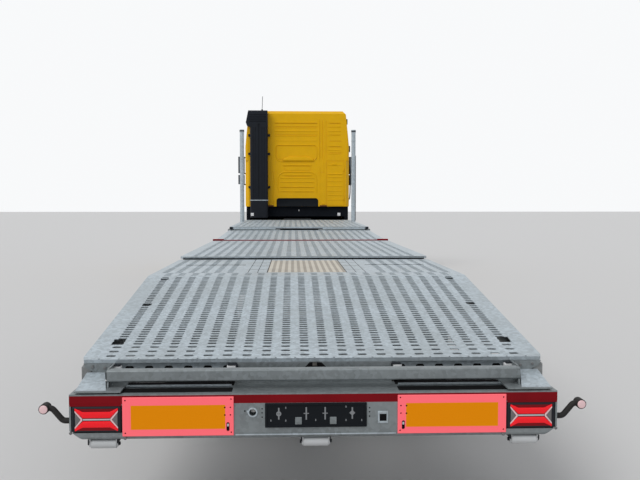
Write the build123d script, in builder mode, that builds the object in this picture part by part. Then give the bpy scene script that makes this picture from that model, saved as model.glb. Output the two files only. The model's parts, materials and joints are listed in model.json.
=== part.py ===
"""Articulated vehicle transporter lorry: tractor with a sleeper cab and a low-deck semi-trailer.

Millimetres. +Y is forward, +X is right, +Z is up, and the ground is z = 0 under the middle of
the lorry. Stations along the lorry run forward from the rear face.
"""

import os

from build123d import *

os.makedirs("parts", exist_ok=True)

# Stations along the trailer, each one measured from the one behind it
REAR_Y = -8250.0
TAIL_SETBACK = 245.0
TAIL_RUN = 1875.0
FLAT_RUN = 1660.0
RAISED_RUN = 3120.0
STRIP_RUN = 90.0
FRONT_RUN = 2400.0
NECK_RUN = 4170.0
KINGPIN_SETBACK = 1560.0

tail_y = REAR_Y + TAIL_SETBACK
crest_y = tail_y + TAIL_RUN
raised_y = crest_y + FLAT_RUN
strip_y = raised_y + RAISED_RUN
front_y = strip_y + STRIP_RUN
step_y = front_y + FRONT_RUN
neck_end_y = step_y + NECK_RUN
kingpin_y = neck_end_y - KINGPIN_SETBACK

# Heights of the decks over the ground
TAIL_Z = 859.0
CREST_Z = 1124.0
RAISED_Z = 1152.0
FRONT_LOW_Z = 1150.0
FRONT_HIGH_Z = 1208.0
NECK_REAR_Z = 1268.0
NECK_FRONT_Z = 1288.0

# Trailer body
DECK_WIDTH = 2490.0
DECK_T = 40.0
RAISED_SHEET = 22.0
RAISED_SETBACK = 45.0
SEAM = 6.0
RUNNING_GAP = 0.3
MAIN_BEAM_X = 400.0
BEAM_WEB = 14.0
BEAM_FLANGE = 130.0
FLANGE_T = 16.0
FRAME_BOTTOM_Z = 610.0
FRAME_NOSE_Y = 1750.0
SIDE_RAIL_T = 50.0
SIDE_RAIL_H = 110.0
NECK_RAIL_H = 80.0
CROSS_MEMBER_H = 90.0
CROSS_MEMBER_T = 60.0
CROSS_PITCH = 900.0

# Rear beam with its red strip
BOARD_T = 8.0
BEAM_LOW_Z = 498.0
BEAM_TOP_Z = 680.0
BEAM_DEPTH = 70.0
STRIP_H = 43.0
LAMP_X = 1108.0
LAMP_W = 256.0
LAMP_H = 140.0
LAMP_Z = 604.0
LAMP_DEPTH = 48.0
BOARD_X = 698.0
BOARD_W = 560.0
BOARD_H = 199.0
BOARD_Z = 616.5
PLATE_W = 519.0
PLATE_H = 126.0
PLATE_Z = 616.5
CROSS_TUBE_HALF = 1075.0
CROSS_TUBE_LOW_Z = 773.0
CROSS_TUBE_H = 61.0
CROSS_TUBE_D = 60.0
SLOT_X = 758.0
SLOT_W = 683.0

beam_face_y = REAR_Y + BOARD_T
beam_front_y = beam_face_y + BEAM_DEPTH
half_deck = DECK_WIDTH / 2

# Kingpin and fifth wheel
COUPLING_Z = 1130.0
KINGPIN_R = 25.4
KINGPIN_H = 84.0
RUB_PLATE_T = 12.0

# Tractor stations
FIFTH_WHEEL_LEAD = 600.0
WHEELBASE = 3700.0
FRONT_OVERHANG = 1400.0
CAB_LENGTH = 2240.0
CHASSIS_TAIL = 950.0

rear_axle_y = kingpin_y - FIFTH_WHEEL_LEAD
front_axle_y = rear_axle_y + WHEELBASE
nose_y = front_axle_y + FRONT_OVERHANG
cab_back_y = nose_y - CAB_LENGTH
chassis_end_y = rear_axle_y - CHASSIS_TAIL

# Tractor chassis
RAIL_X = 395.0
RAIL_W = 75.0
RAIL_T = 9.0
RAIL_TOP_Z = 985.0
RAIL_H = 270.0

# Wheels: radius over the tread, tread width, rim radius, place of the centre from the middle
TRACTOR_TYRE_R = 500.0
TRACTOR_TYRE_W = 300.0
TRACTOR_RIM_R = 292.0
TRAILER_TYRE_R = 398.0
TRAILER_TYRE_W = 232.0
TRAILER_RIM_R = 226.0
FRONT_TRACK_X = 1030.0
REAR_TWIN_X = 930.0
REAR_TWIN_GAP = 40.0
TRAILER_TWIN_X = 985.0
TRAILER_TWIN_GAP = 34.0
TRAILER_AXLE_FROM_REAR = 3000.0
TRAILER_AXLE_PITCH = 1310.0

trailer_axles_y = [REAR_Y + TRAILER_AXLE_FROM_REAR + n * TRAILER_AXLE_PITCH for n in range(2)]

# Cab
CAB_HALF = 1240.0
CAB_TOP_Z = 3890.0
CAB_FLOOR_Z = 1400.0
CAB_BACK_LOW_Z = 1594.0
CAB_SILL_Z = 1020.0
CAB_WALL = 45.0
DOOR_T = 60.0
DOOR_GAP = 6.0

SIDES = ((-1, "left"), (1, "right"))


def side_plate(points, x_low, x_high, mode=Mode.ADD):
    """Extrude a side outline of (y, z) points from x_low to x_high."""
    with BuildSketch(Plane.YZ.offset(x_low)) as outline:
        with BuildLine():
            Polyline(*points, close=True)
        make_face()
    extrude(outline.sketch, amount=x_high - x_low, mode=mode)


def plan_plate(points, z_low, z_high, mode=Mode.ADD):
    """Extrude a plan outline of (x, y) points from z_low to z_high."""
    with BuildSketch(Plane.XY.offset(z_low)) as outline:
        with BuildLine():
            Polyline(*points, close=True)
        make_face()
    extrude(outline.sketch, amount=z_high - z_low, mode=mode)


def rear_plate(points, y_low, y_high, mode=Mode.ADD):
    """Extrude an outline of (x, z) points, as seen from behind, from y_low to y_high."""
    with BuildSketch(Plane.XZ.offset(-y_low)) as outline:
        with BuildLine():
            Polyline(*points, close=True)
        make_face()
    extrude(outline.sketch, amount=y_low - y_high, mode=mode)


def block(x_span, y_span, z_span, mode=Mode.ADD):
    """Add a straight bar that fills three spans."""
    spans = (x_span, y_span, z_span)
    middle = [(low + high) / 2 for low, high in spans]
    with Locations(tuple(middle)):
        Box(*[high - low for low, high in spans], mode=mode)


def rod(start, end, radius, mode=Mode.ADD):
    """Add a round bar from start to end."""
    axis = Vector(*end) - Vector(*start)
    with BuildSketch(Plane(origin=start, z_dir=axis)) as section:
        Circle(radius)
    extrude(section.sketch, amount=axis.length, mode=mode)


def mirrored(side, low, high):
    """Give the x span from low to high on the right, or its mirror image on the left."""
    return (low, high) if side > 0 else (-high, -low)


def deck_top(y):
    """Height of the loading surface at a station, without the raised plate."""
    stations = (
        (tail_y, TAIL_Z),
        (crest_y, CREST_Z),
        (raised_y, CREST_Z),
        (strip_y, CREST_Z),
        (front_y, FRONT_LOW_Z),
        (step_y, FRONT_HIGH_Z),
    )
    for (low_y, low_z), (high_y, high_z) in zip(stations, stations[1:]):
        if y <= high_y:
            return low_z + (high_z - low_z) * (y - low_y) / (high_y - low_y)
    share = (y - step_y) / (neck_end_y - step_y)
    return NECK_REAR_Z + (NECK_FRONT_Z - NECK_REAR_Z) * share


def frame_top(y):
    """Height of the frame under the deck plates at a station."""
    return deck_top(y) - DECK_T


# Trailer frame: two main beams, side rails, cross-members and the gooseneck with its kingpin
neck_low_z = COUPLING_Z + RUNNING_GAP
frame_tail_y = beam_front_y
deck_line = [
    (tail_y, frame_top(tail_y)),
    (crest_y, frame_top(crest_y)),
    (strip_y, frame_top(strip_y)),
    (front_y, frame_top(front_y)),
    (step_y - SEAM, frame_top(step_y - SEAM)),
]
neck_line = [
    (step_y - SEAM, NECK_REAR_Z - DECK_T),
    (step_y, NECK_REAR_Z - DECK_T),
    (neck_end_y, NECK_FRONT_Z - DECK_T),
]
beam_outline = (
    [(frame_tail_y, FRAME_BOTTOM_Z), (frame_tail_y, BEAM_TOP_Z), (tail_y, BEAM_TOP_Z)]
    + deck_line
    + neck_line
    + [
        (neck_end_y, neck_low_z),
        (FRAME_NOSE_Y, neck_low_z),
        (FRAME_NOSE_Y - 180, neck_low_z - 60),
        (FRAME_NOSE_Y - 330, FRAME_BOTTOM_Z + 150),
        (FRAME_NOSE_Y - 520, FRAME_BOTTOM_Z),
    ]
)
with BuildPart() as trailer_frame:
    for side, _ in SIDES:
        web = mirrored(side, MAIN_BEAM_X - BEAM_WEB / 2, MAIN_BEAM_X + BEAM_WEB / 2)
        side_plate(beam_outline, *web)
        flange = mirrored(side, MAIN_BEAM_X - BEAM_FLANGE / 2, MAIN_BEAM_X + BEAM_FLANGE / 2)
        rail = mirrored(side, half_deck - SIDE_RAIL_T, half_deck)
        for line, rail_h in ((deck_line, SIDE_RAIL_H), (neck_line, NECK_RAIL_H)):
            side_plate(line + [(y, z - FLANGE_T) for y, z in reversed(line)], *flange)
            side_plate(line + [(y, z - rail_h) for y, z in reversed(line)], *rail)
        lower_run = (frame_tail_y, FRAME_NOSE_Y - 520)
        block(flange, lower_run, (FRAME_BOTTOM_Z, FRAME_BOTTOM_Z + FLANGE_T))
        rise = [(FRAME_NOSE_Y - 520, FRAME_BOTTOM_Z), (FRAME_NOSE_Y - 330, FRAME_BOTTOM_Z + 150)]
        rise += [(FRAME_NOSE_Y - 180, neck_low_z - 60), (FRAME_NOSE_Y, neck_low_z)]
        side_plate(rise + [(y - FLANGE_T, z + FLANGE_T) for y, z in reversed(rise)], *flange)
        wedge = [(frame_tail_y, FRAME_BOTTOM_Z), (frame_tail_y, BEAM_TOP_Z), (tail_y, BEAM_TOP_Z)]
        wedge += [(tail_y, frame_top(tail_y)), (crest_y - 500, frame_top(crest_y - 500))]
        wedge += [(crest_y - 500, frame_top(crest_y - 500) - SIDE_RAIL_H)]
        side_plate(wedge, *mirrored(side, half_deck - SIDE_RAIL_T, half_deck - SIDE_RAIL_T + 12))
    tail_members = [tail_y + 60 + n * CROSS_PITCH for n in range(2)]
    for member_y in tail_members:
        block((-half_deck + 10, half_deck - 10), (member_y, member_y + CROSS_MEMBER_T),
              (FRAME_BOTTOM_Z, FRAME_BOTTOM_Z + 60))
    member_y = crest_y
    while member_y < step_y - CROSS_MEMBER_T:
        member_top = min(frame_top(member_y), frame_top(member_y + CROSS_MEMBER_T))
        block((-half_deck + 10, half_deck - 10), (member_y, member_y + CROSS_MEMBER_T),
              (member_top - CROSS_MEMBER_H, member_top))
        member_y += CROSS_PITCH / 2
    neck_members = (step_y, step_y + CROSS_PITCH, kingpin_y - CROSS_PITCH,
                    neck_end_y - CROSS_MEMBER_T)
    for member_y in neck_members:
        block((-half_deck + 10, half_deck - 10), (member_y, member_y + CROSS_MEMBER_T),
              (neck_low_z, frame_top(member_y)))
    rub_plate = [(-560, kingpin_y - 500), (560, kingpin_y - 500), (560, neck_end_y - 400)]
    rub_plate += [(280, neck_end_y), (-280, neck_end_y), (-560, neck_end_y - 400)]
    plan_plate(rub_plate, neck_low_z, neck_low_z + RUB_PLATE_T)
    rod((0, kingpin_y, neck_low_z), (0, kingpin_y, neck_low_z - KINGPIN_H), KINGPIN_R)
trailer_frame.part.label = "trailer_frame"
export_step(trailer_frame.part, "parts/trailer_frame.step")

# Deck plates. The perforation is left out here; the lashing cut-outs are real
LIP_H = 20.0
CORNER_CUT = 12.0
INSERT_W = 650.0
INSERT_FROM_CREST = 260.0
INSERT_L = 1250.0
INSERT_T = 8.0
NECK_PLATE_EDGE = 1215.0
FRONT_DECK_EDGE = 1225.0
# Lashing cut-outs: centre from the middle, distance from the rear edge, width and length
CUTOUTS = ((1114.0, 292.0, 68.0, 96.0), (1099.0, 1075.0, 60.0, 48.0), (1099.0, 1790.0, 60.0, 44.0))

tail_corner = tail_y + 2 * CORNER_CUT
slope_plan = [(-half_deck, tail_corner), (-half_deck + CORNER_CUT, tail_y), (half_deck - CORNER_CUT, tail_y)]
slope_plan += [(half_deck, tail_corner), (half_deck, crest_y), (-half_deck, crest_y)]
with BuildPart() as tail_deck:
    plan_plate(slope_plan, TAIL_Z - 100, CREST_Z + 100)
    slab = [(tail_y, TAIL_Z), (crest_y, CREST_Z), (crest_y, CREST_Z - DECK_T)]
    slab += [(tail_y + LIP_H, frame_top(tail_y + LIP_H)), (tail_y, TAIL_Z - LIP_H)]
    side_plate(slab, -half_deck, half_deck, mode=Mode.INTERSECT)
    for side, _ in SIDES:
        for cut_x, cut_run, cut_w, cut_l in CUTOUTS:
            span = mirrored(side, cut_x - cut_w / 2, cut_x + cut_w / 2)
            cut_y = tail_y + cut_run
            block(span, (cut_y - cut_l / 2, cut_y + cut_l / 2), (TAIL_Z - 90, CREST_Z + 90), mode=Mode.SUBTRACT)
tail_deck.part.label = "tail_deck"
export_step(tail_deck.part, "parts/tail_deck.step")

insert_start = crest_y + INSERT_FROM_CREST
with BuildPart() as flat_deck:
    block((-half_deck, half_deck), (crest_y, raised_y - SEAM), (CREST_Z - DECK_T, CREST_Z))
    block((-INSERT_W / 2, INSERT_W / 2), (insert_start, insert_start + INSERT_L),
          (CREST_Z - INSERT_T, CREST_Z), mode=Mode.SUBTRACT)
flat_deck.part.label = "flat_deck"
export_step(flat_deck.part, "parts/flat_deck.step")

with BuildPart() as deck_insert:
    edge = RUNNING_GAP
    block((-INSERT_W / 2 + edge, INSERT_W / 2 - edge),
          (insert_start + edge, insert_start + INSERT_L - edge), (CREST_Z - INSERT_T, CREST_Z + 2))
deck_insert.part.label = "deck_insert"
export_step(deck_insert.part, "parts/deck_insert.step")

RAISED_CORNER = 30.0
raised_plan = [(-half_deck + RAISED_CORNER, raised_y), (half_deck - RAISED_CORNER, raised_y)]
raised_plan += [(half_deck, raised_y + 1.6 * RAISED_CORNER), (half_deck, strip_y - SEAM)]
raised_plan += [(-half_deck, strip_y - SEAM), (-half_deck, raised_y + 1.6 * RAISED_CORNER)]
with BuildPart() as raised_deck:
    plan_plate(raised_plan, RAISED_Z - RAISED_SHEET, RAISED_Z)
    block((-half_deck + RAISED_SETBACK, half_deck - RAISED_SETBACK), (raised_y + RAISED_SETBACK, strip_y - SEAM),
          (CREST_Z - DECK_T, RAISED_Z - RAISED_SHEET))
raised_deck.part.label = "raised_deck"
export_step(raised_deck.part, "parts/raised_deck.step")

with BuildPart() as front_deck:
    slab = [(front_y, FRONT_LOW_Z), (step_y - SEAM, deck_top(step_y - SEAM))]
    slab += [(step_y - SEAM, frame_top(step_y - SEAM)), (front_y, frame_top(front_y))]
    side_plate(slab, -FRONT_DECK_EDGE, FRONT_DECK_EDGE)
front_deck.part.label = "front_deck"
export_step(front_deck.part, "parts/front_deck.step")

# Where the two posts stand on the gooseneck, each in a notch of its plate
POST_FROM_NECK_END = 1060.0
POST_X = 1200.0
POST_R = 45.0
POST_TOP_Z = 3250.0
POST_FOOT_HALF = 110.0
POST_FOOT_T = 14.0
post_y = neck_end_y - POST_FROM_NECK_END
POST_NOTCH_GAP = 8.0
with BuildPart() as neck_deck:
    slab = [(step_y, NECK_REAR_Z), (neck_end_y, NECK_FRONT_Z)]
    slab += [(neck_end_y, NECK_FRONT_Z - DECK_T), (step_y, NECK_REAR_Z - DECK_T)]
    side_plate(slab, -NECK_PLATE_EDGE, NECK_PLATE_EDGE)
    for side, _ in SIDES:
        block(mirrored(side, POST_X - POST_R - POST_NOTCH_GAP, NECK_PLATE_EDGE + 1),
              (post_y - POST_FOOT_HALF - POST_NOTCH_GAP, post_y + POST_FOOT_HALF + POST_NOTCH_GAP),
              (NECK_REAR_Z - DECK_T, NECK_FRONT_Z), mode=Mode.SUBTRACT)
neck_deck.part.label = "neck_deck"
export_step(neck_deck.part, "parts/neck_deck.step")

# Dark red strips: along the rear beam and across the deck behind the front slope
CROSS_STRIP_TOP_Z = 1162.0
CROSS_STRIP_END = 150.0
CROSS_STRIP_END_TOP_Z = 1174.0
with BuildPart() as red_strips:
    block((-half_deck, half_deck), (beam_face_y, beam_front_y), (BEAM_TOP_Z, BEAM_TOP_Z + STRIP_H))
    strip_end_y = front_y - SEAM
    strip_seat = [(strip_y, frame_top(strip_y)), (strip_end_y, frame_top(strip_end_y))]
    side_plate(strip_seat + [(strip_end_y, CROSS_STRIP_TOP_Z), (strip_y, CROSS_STRIP_TOP_Z)], -half_deck, half_deck)
    for side, _ in SIDES:
        side_plate(strip_seat + [(strip_end_y, CROSS_STRIP_END_TOP_Z), (strip_y, CROSS_STRIP_END_TOP_Z)],
                   *mirrored(side, half_deck - CROSS_STRIP_END, half_deck))
red_strips.part.label = "red_strips"
export_step(red_strips.part, "parts/red_strips.step")

# Rear beam with the lamp recesses, the socket hole and the cross tube above it
END_BEVEL = 46.0
SOCKET_X = -322.0
SOCKET_Z = 633.0
SOCKET_R = 20.0
beam_ends = [(-half_deck, BEAM_TOP_Z), (-half_deck, BEAM_LOW_Z + END_BEVEL)]
beam_ends += [(-half_deck + 1.4 * END_BEVEL, BEAM_LOW_Z), (half_deck - 1.4 * END_BEVEL, BEAM_LOW_Z)]
beam_ends += [(half_deck, BEAM_LOW_Z + END_BEVEL), (half_deck, BEAM_TOP_Z)]
with BuildPart() as rear_beam:
    rear_plate(beam_ends, beam_face_y, beam_front_y)
    lower_edges = rear_beam.edges().filter_by(Axis.X).group_by(Axis.Z)[0]
    fillet(lower_edges, radius=18)
    for side, _ in SIDES:
        block((side * LAMP_X - LAMP_W / 2, side * LAMP_X + LAMP_W / 2),
              (beam_face_y, beam_face_y + LAMP_DEPTH), (LAMP_Z - LAMP_H / 2, LAMP_Z + LAMP_H / 2),
              mode=Mode.SUBTRACT)
    rod((SOCKET_X, beam_face_y, SOCKET_Z), (SOCKET_X, beam_front_y, SOCKET_Z), SOCKET_R,
        mode=Mode.SUBTRACT)
rear_beam.part.label = "rear_beam"
export_step(rear_beam.part, "parts/rear_beam.step")

# Cross tube with its end gussets and the shelf under it, between the beam and the deck
tube_y = beam_front_y + 10
GUSSET_T = 8.0
FASCIA_T = 10.0
shelf_z = BEAM_TOP_Z + STRIP_H
with BuildPart() as cross_tube:
    block((-CROSS_TUBE_HALF, CROSS_TUBE_HALF), (tube_y, tube_y + CROSS_TUBE_D),
          (CROSS_TUBE_LOW_Z, CROSS_TUBE_LOW_Z + CROSS_TUBE_H))
    fillet(cross_tube.edges().filter_by(Axis.X), radius=9)
    block((-half_deck, half_deck), (beam_face_y, tail_y - RUNNING_GAP), (shelf_z, shelf_z + 7))
    fascia_half = SLOT_X - SLOT_W / 2
    block((-fascia_half, fascia_half), (tail_y - FASCIA_T, tail_y - RUNNING_GAP),
          (shelf_z + 7, TAIL_Z - LIP_H))
    hook_mouth = [(-27, TAIL_Z - LIP_H), (-62, TAIL_Z - LIP_H - 36), (62, TAIL_Z - LIP_H - 36)]
    hook_mouth += [(27, TAIL_Z - LIP_H)]
    rear_plate(hook_mouth, tail_y - FASCIA_T, tail_y, mode=Mode.SUBTRACT)
    for side, _ in SIDES:
        inner = mirrored(side, CROSS_TUBE_HALF - GUSSET_T, CROSS_TUBE_HALF)
        gusset = [(tube_y - 6, shelf_z + 7), (tail_y - RUNNING_GAP, shelf_z + 7)]
        gusset += [(tail_y - RUNNING_GAP, TAIL_Z - LIP_H), (tube_y + 30, TAIL_Z - LIP_H)]
        side_plate(gusset, *inner)
        corner = [(CROSS_TUBE_HALF - GUSSET_T, TAIL_Z - LIP_H), (half_deck - CORNER_CUT, TAIL_Z - LIP_H)]
        corner += [(half_deck - CORNER_CUT - 10, TAIL_Z - LIP_H - 24), (half_deck - 110, CROSS_TUBE_LOW_Z)]
        corner += [(CROSS_TUBE_HALF + 20, shelf_z + 7), (CROSS_TUBE_HALF - GUSSET_T, shelf_z + 7)]
        rear_plate([(side * x, z) for x, z in corner], tail_y - GUSSET_T, tail_y - RUNNING_GAP)
        cover = mirrored(side, BOARD_X + BOARD_W / 2 + 10, half_deck - 24)
        block(cover, (beam_face_y + 2, tail_y - GUSSET_T), (shelf_z + 15, shelf_z + 22))
        block(mirrored(side, BOARD_X + BOARD_W / 2 + 30, half_deck - 44), (beam_face_y + 26, tail_y - GUSSET_T),
              (shelf_z + 7, shelf_z + 15))
cross_tube.part.label = "cross_tube"
export_step(cross_tube.part, "parts/cross_tube.step")

# Marker boards on the rear beam, each with its locking slot
with BuildPart() as marker_boards:
    for side, _ in SIDES:
        with BuildSketch(Plane.XZ.offset(-REAR_Y)) as board:
            with Locations((side * BOARD_X, BOARD_Z)):
                RectangleRounded(BOARD_W, BOARD_H, 8)
            with Locations((side * BOARD_X + BOARD_W / 2 - 32, BOARD_Z - 55)):
                SlotOverall(50, 18, rotation=90, mode=Mode.SUBTRACT)
        extrude(board.sketch, amount=-BOARD_T)
marker_boards.part.label = "marker_boards"
export_step(marker_boards.part, "parts/marker_boards.step")

# Tail lamps: a body in the recess and two raised light bars that pinch in at the middle
LAMP_CLEARANCE = 3.0
LENS_RISE = 7.0
with BuildPart() as tail_lamps:
    for side, _ in SIDES:
        middle = side * LAMP_X
        half_w = LAMP_W / 2 - LAMP_CLEARANCE
        half_h = LAMP_H / 2 - LAMP_CLEARANCE
        body_back = beam_face_y + LAMP_DEPTH - RUNNING_GAP
        block((middle - half_w, middle + half_w), (REAR_Y + LENS_RISE, body_back),
              (LAMP_Z - half_h, LAMP_Z + half_h))
        for flip in (-1, 1):
            bar = [(-half_w + 16, 62), (half_w - 16, 62), (half_w - 62, 8), (-half_w + 62, 8)]
            rear_plate([(middle + x, LAMP_Z + flip * z) for x, z in bar], REAR_Y, REAR_Y + LENS_RISE)
tail_lamps.part.label = "tail_lamps"
export_step(tail_lamps.part, "parts/tail_lamps.step")

with BuildPart() as plate_holder:
    block((-PLATE_W / 2, PLATE_W / 2), (REAR_Y + 1, beam_face_y), (PLATE_Z - PLATE_H / 2, PLATE_Z + PLATE_H / 2))
    fillet(plate_holder.edges().filter_by(Axis.Y), radius=8)
    block((-PLATE_W / 2 + 12, PLATE_W / 2 - 12), (REAR_Y + 1, REAR_Y + 4),
          (PLATE_Z - PLATE_H / 2 + 12, PLATE_Z + PLATE_H / 2 - 12), mode=Mode.SUBTRACT)
plate_holder.part.label = "plate_holder"
export_step(plate_holder.part, "parts/plate_holder.step")

# Outline marker lamps on bent rubber arms at the ends of the rear beam
ARM_R = 15.0
ARM_TIP_X = 1400.0
ARM_LAMP_R = 25.0
ARM_LAMP_Z = 655.0
ARM_ROOT_Z = 590.0
arm_y = beam_face_y + BEAM_DEPTH / 2
with BuildPart() as lamp_arms:
    for side, _ in SIDES:
        root_x = half_deck + RUNNING_GAP
        lamp_x = ARM_TIP_X - ARM_LAMP_R
        with BuildLine() as arm_path:
            FilletPolyline((side * root_x, arm_y, ARM_ROOT_Z), (side * (root_x + 40), arm_y, ARM_ROOT_Z),
                           (side * (lamp_x - 35), arm_y, ARM_LAMP_Z), (side * lamp_x, arm_y, ARM_LAMP_Z),
                           radius=30)
        with BuildSketch(Plane(origin=(side * root_x, arm_y, ARM_ROOT_Z), z_dir=(side, 0, 0))) as section:
            Circle(ARM_R)
        sweep(section.sketch, path=arm_path.line)
        rod((side * lamp_x, beam_face_y + 8, ARM_LAMP_Z), (side * lamp_x, beam_front_y - 8, ARM_LAMP_Z),
            ARM_LAMP_R)
lamp_arms.part.label = "lamp_arms"
export_step(lamp_arms.part, "parts/lamp_arms.step")

# Rollers under the rear beam, each between two cheeks
ROLLER_R = 24.0
ROLLER_L = 128.0
ROLLER_X = 1080.0
ROLLER_GAP = 4.0
CHEEK_T = 8.0
roller_z = BEAM_LOW_Z - ROLLER_R - ROLLER_GAP
with BuildPart() as rollers:
    for roller_x in (-ROLLER_X, 0.0, ROLLER_X):
        rod((roller_x - ROLLER_L / 2, arm_y, roller_z), (roller_x + ROLLER_L / 2, arm_y, roller_z), ROLLER_R)
        for end in (-1, 1):
            cheek_x = roller_x + end * (ROLLER_L + CHEEK_T) / 2
            cheek = [(arm_y - 26, BEAM_LOW_Z), (arm_y + 26, BEAM_LOW_Z), (arm_y + 14, roller_z - 14)]
            cheek += [(arm_y - 14, roller_z - 14)]
            side_plate(cheek, cheek_x - CHEEK_T / 2, cheek_x + CHEEK_T / 2)
rollers.part.label = "rollers"
export_step(rollers.part, "parts/rollers.step")

# Posts that stand on the gooseneck side rails, with domed caps
with BuildPart() as posts:
    for side, _ in SIDES:
        foot = [(post_y - POST_FOOT_HALF, frame_top(post_y - POST_FOOT_HALF))]
        foot += [(post_y + POST_FOOT_HALF, frame_top(post_y + POST_FOOT_HALF))]
        foot += [(y, z + POST_FOOT_T) for y, z in reversed(foot)]
        side_plate(foot, *mirrored(side, POST_X - POST_R, half_deck))
        foot_z = frame_top(post_y) + POST_FOOT_T / 2
        rod((side * POST_X, post_y, foot_z), (side * POST_X, post_y, POST_TOP_Z - 30), POST_R)
        rod((side * POST_X, post_y, POST_TOP_Z - 55), (side * POST_X, post_y, POST_TOP_Z), POST_R + 5)
        brace = [(post_y - POST_FOOT_HALF + 10, frame_top(post_y) + POST_FOOT_T / 2)]
        brace += [(post_y + POST_FOOT_HALF - 10, frame_top(post_y) + POST_FOOT_T / 2)]
        brace += [(post_y + POST_R / 2, frame_top(post_y) + 260), (post_y - POST_R / 2, frame_top(post_y) + 260)]
        side_plate(brace, *mirrored(side, POST_X - 5, POST_X + 5))
posts.part.label = "posts"
export_step(posts.part, "parts/posts.step")

# Side guards: two planks a side on uprights that hang from the side rails
GUARD_START_Y = trailer_axles_y[-1] + 700
GUARD_END_Y = 720.0
GUARD_T = 26.0
PLANK_H = 110.0
GUARD_LOW_Z = 430.0
GUARD_HIGH_Z = 740.0
UPRIGHT_W = 60.0
guard_pitch = (GUARD_END_Y - GUARD_START_Y - 300) / 3
with BuildPart() as side_guards:
    for side, _ in SIDES:
        plank = mirrored(side, half_deck - GUARD_T, half_deck)
        post = mirrored(side, half_deck - 2 * GUARD_T, half_deck - GUARD_T)
        for plank_z in (GUARD_LOW_Z, GUARD_HIGH_Z):
            block(plank, (GUARD_START_Y, GUARD_END_Y), (plank_z, plank_z + PLANK_H))
        for n in range(4):
            upright_y = GUARD_START_Y + 120 + n * guard_pitch
            hang_z = min(frame_top(upright_y), frame_top(upright_y + UPRIGHT_W)) - SIDE_RAIL_H
            block(post, (upright_y, upright_y + UPRIGHT_W), (GUARD_LOW_Z, hang_z))
side_guards.part.label = "side_guards"
export_step(side_guards.part, "parts/side_guards.step")

# Landing legs, wound up, under the last cross-member before the gooseneck
LEG_X = 850.0
LEG_W = 110.0
LEG_FOOT_Z = 330.0
LEG_SPLIT_Z = 520.0
LEG_SHAFT_R = 16.0
leg_member = int((step_y - CROSS_MEMBER_T - crest_y) / (CROSS_PITCH / 2))
leg_y = crest_y + leg_member * CROSS_PITCH / 2
leg_top_z = min(frame_top(leg_y), frame_top(leg_y + CROSS_MEMBER_T)) - CROSS_MEMBER_H
leg_mid_y = leg_y + CROSS_MEMBER_T / 2
with BuildPart() as landing_legs:
    for side, _ in SIDES:
        block((side * LEG_X - LEG_W / 2, side * LEG_X + LEG_W / 2),
              (leg_mid_y - LEG_W / 2, leg_mid_y + LEG_W / 2), (LEG_SPLIT_Z, leg_top_z))
        inner = LEG_W / 2 - 9
        block((side * LEG_X - inner, side * LEG_X + inner), (leg_mid_y - inner, leg_mid_y + inner),
              (LEG_FOOT_Z, LEG_SPLIT_Z + 40))
        block((side * LEG_X - 120, side * LEG_X + 120), (leg_mid_y - 120, leg_mid_y + 120),
              (LEG_FOOT_Z - 14, LEG_FOOT_Z))
    shaft_z = FRAME_BOTTOM_Z - 3 * LEG_SHAFT_R
    rod((-LEG_X, leg_mid_y, shaft_z), (LEG_X + 250, leg_mid_y, shaft_z), LEG_SHAFT_R)
landing_legs.part.label = "landing_legs"
export_step(landing_legs.part, "parts/landing_legs.step")

# Trailer axles: beam, stubs, trailing arms, hangers and air springs under the main beams
AXLE_BEAM_R = 64.0
TRAILER_STUB_R = 48.0
TRAILER_STUB_END = 1120.0
ARM_T = 46.0
HANGER_LEAD = 480.0
SPRING_TRAIL = 330.0
SPRING_R = 125.0
trailer_beam_end = TRAILER_TWIN_X - TRAILER_TWIN_GAP / 2 - TRAILER_TYRE_W - 60
with BuildPart() as trailer_axles:
    for axle_y in trailer_axles_y:
        axle_z = TRAILER_TYRE_R
        rod((-trailer_beam_end, axle_y, axle_z), (trailer_beam_end, axle_y, axle_z), AXLE_BEAM_R)
        rod((-TRAILER_STUB_END, axle_y, axle_z), (TRAILER_STUB_END, axle_y, axle_z), TRAILER_STUB_R)
        for side, _ in SIDES:
            arm = [(axle_y + HANGER_LEAD + 40, axle_z + 70), (axle_y + HANGER_LEAD + 40, axle_z + 20)]
            arm += [(axle_y + 60, axle_z - 90), (axle_y - 60, axle_z - 90)]
            arm += [(axle_y - SPRING_TRAIL - 90, axle_z - 40), (axle_y - SPRING_TRAIL - 90, axle_z + 20)]
            arm += [(axle_y - 60, axle_z + 90), (axle_y + 60, axle_z + 90)]
            side_plate(arm, *mirrored(side, MAIN_BEAM_X - ARM_T / 2, MAIN_BEAM_X + ARM_T / 2))
            hanger = [(axle_y + HANGER_LEAD - 60, FRAME_BOTTOM_Z), (axle_y + HANGER_LEAD + 120, FRAME_BOTTOM_Z)]
            hanger += [(axle_y + HANGER_LEAD + 60, axle_z - 10), (axle_y + HANGER_LEAD - 40, axle_z - 10)]
            side_plate(hanger, *mirrored(side, MAIN_BEAM_X - 60, MAIN_BEAM_X + 60))
            spring_y = axle_y - SPRING_TRAIL
            rod((side * MAIN_BEAM_X, spring_y, axle_z), (side * MAIN_BEAM_X, spring_y, FRAME_BOTTOM_Z), SPRING_R)
trailer_axles.part.label = "trailer_axles"
export_step(trailer_axles.part, "parts/trailer_axles.step")

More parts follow.
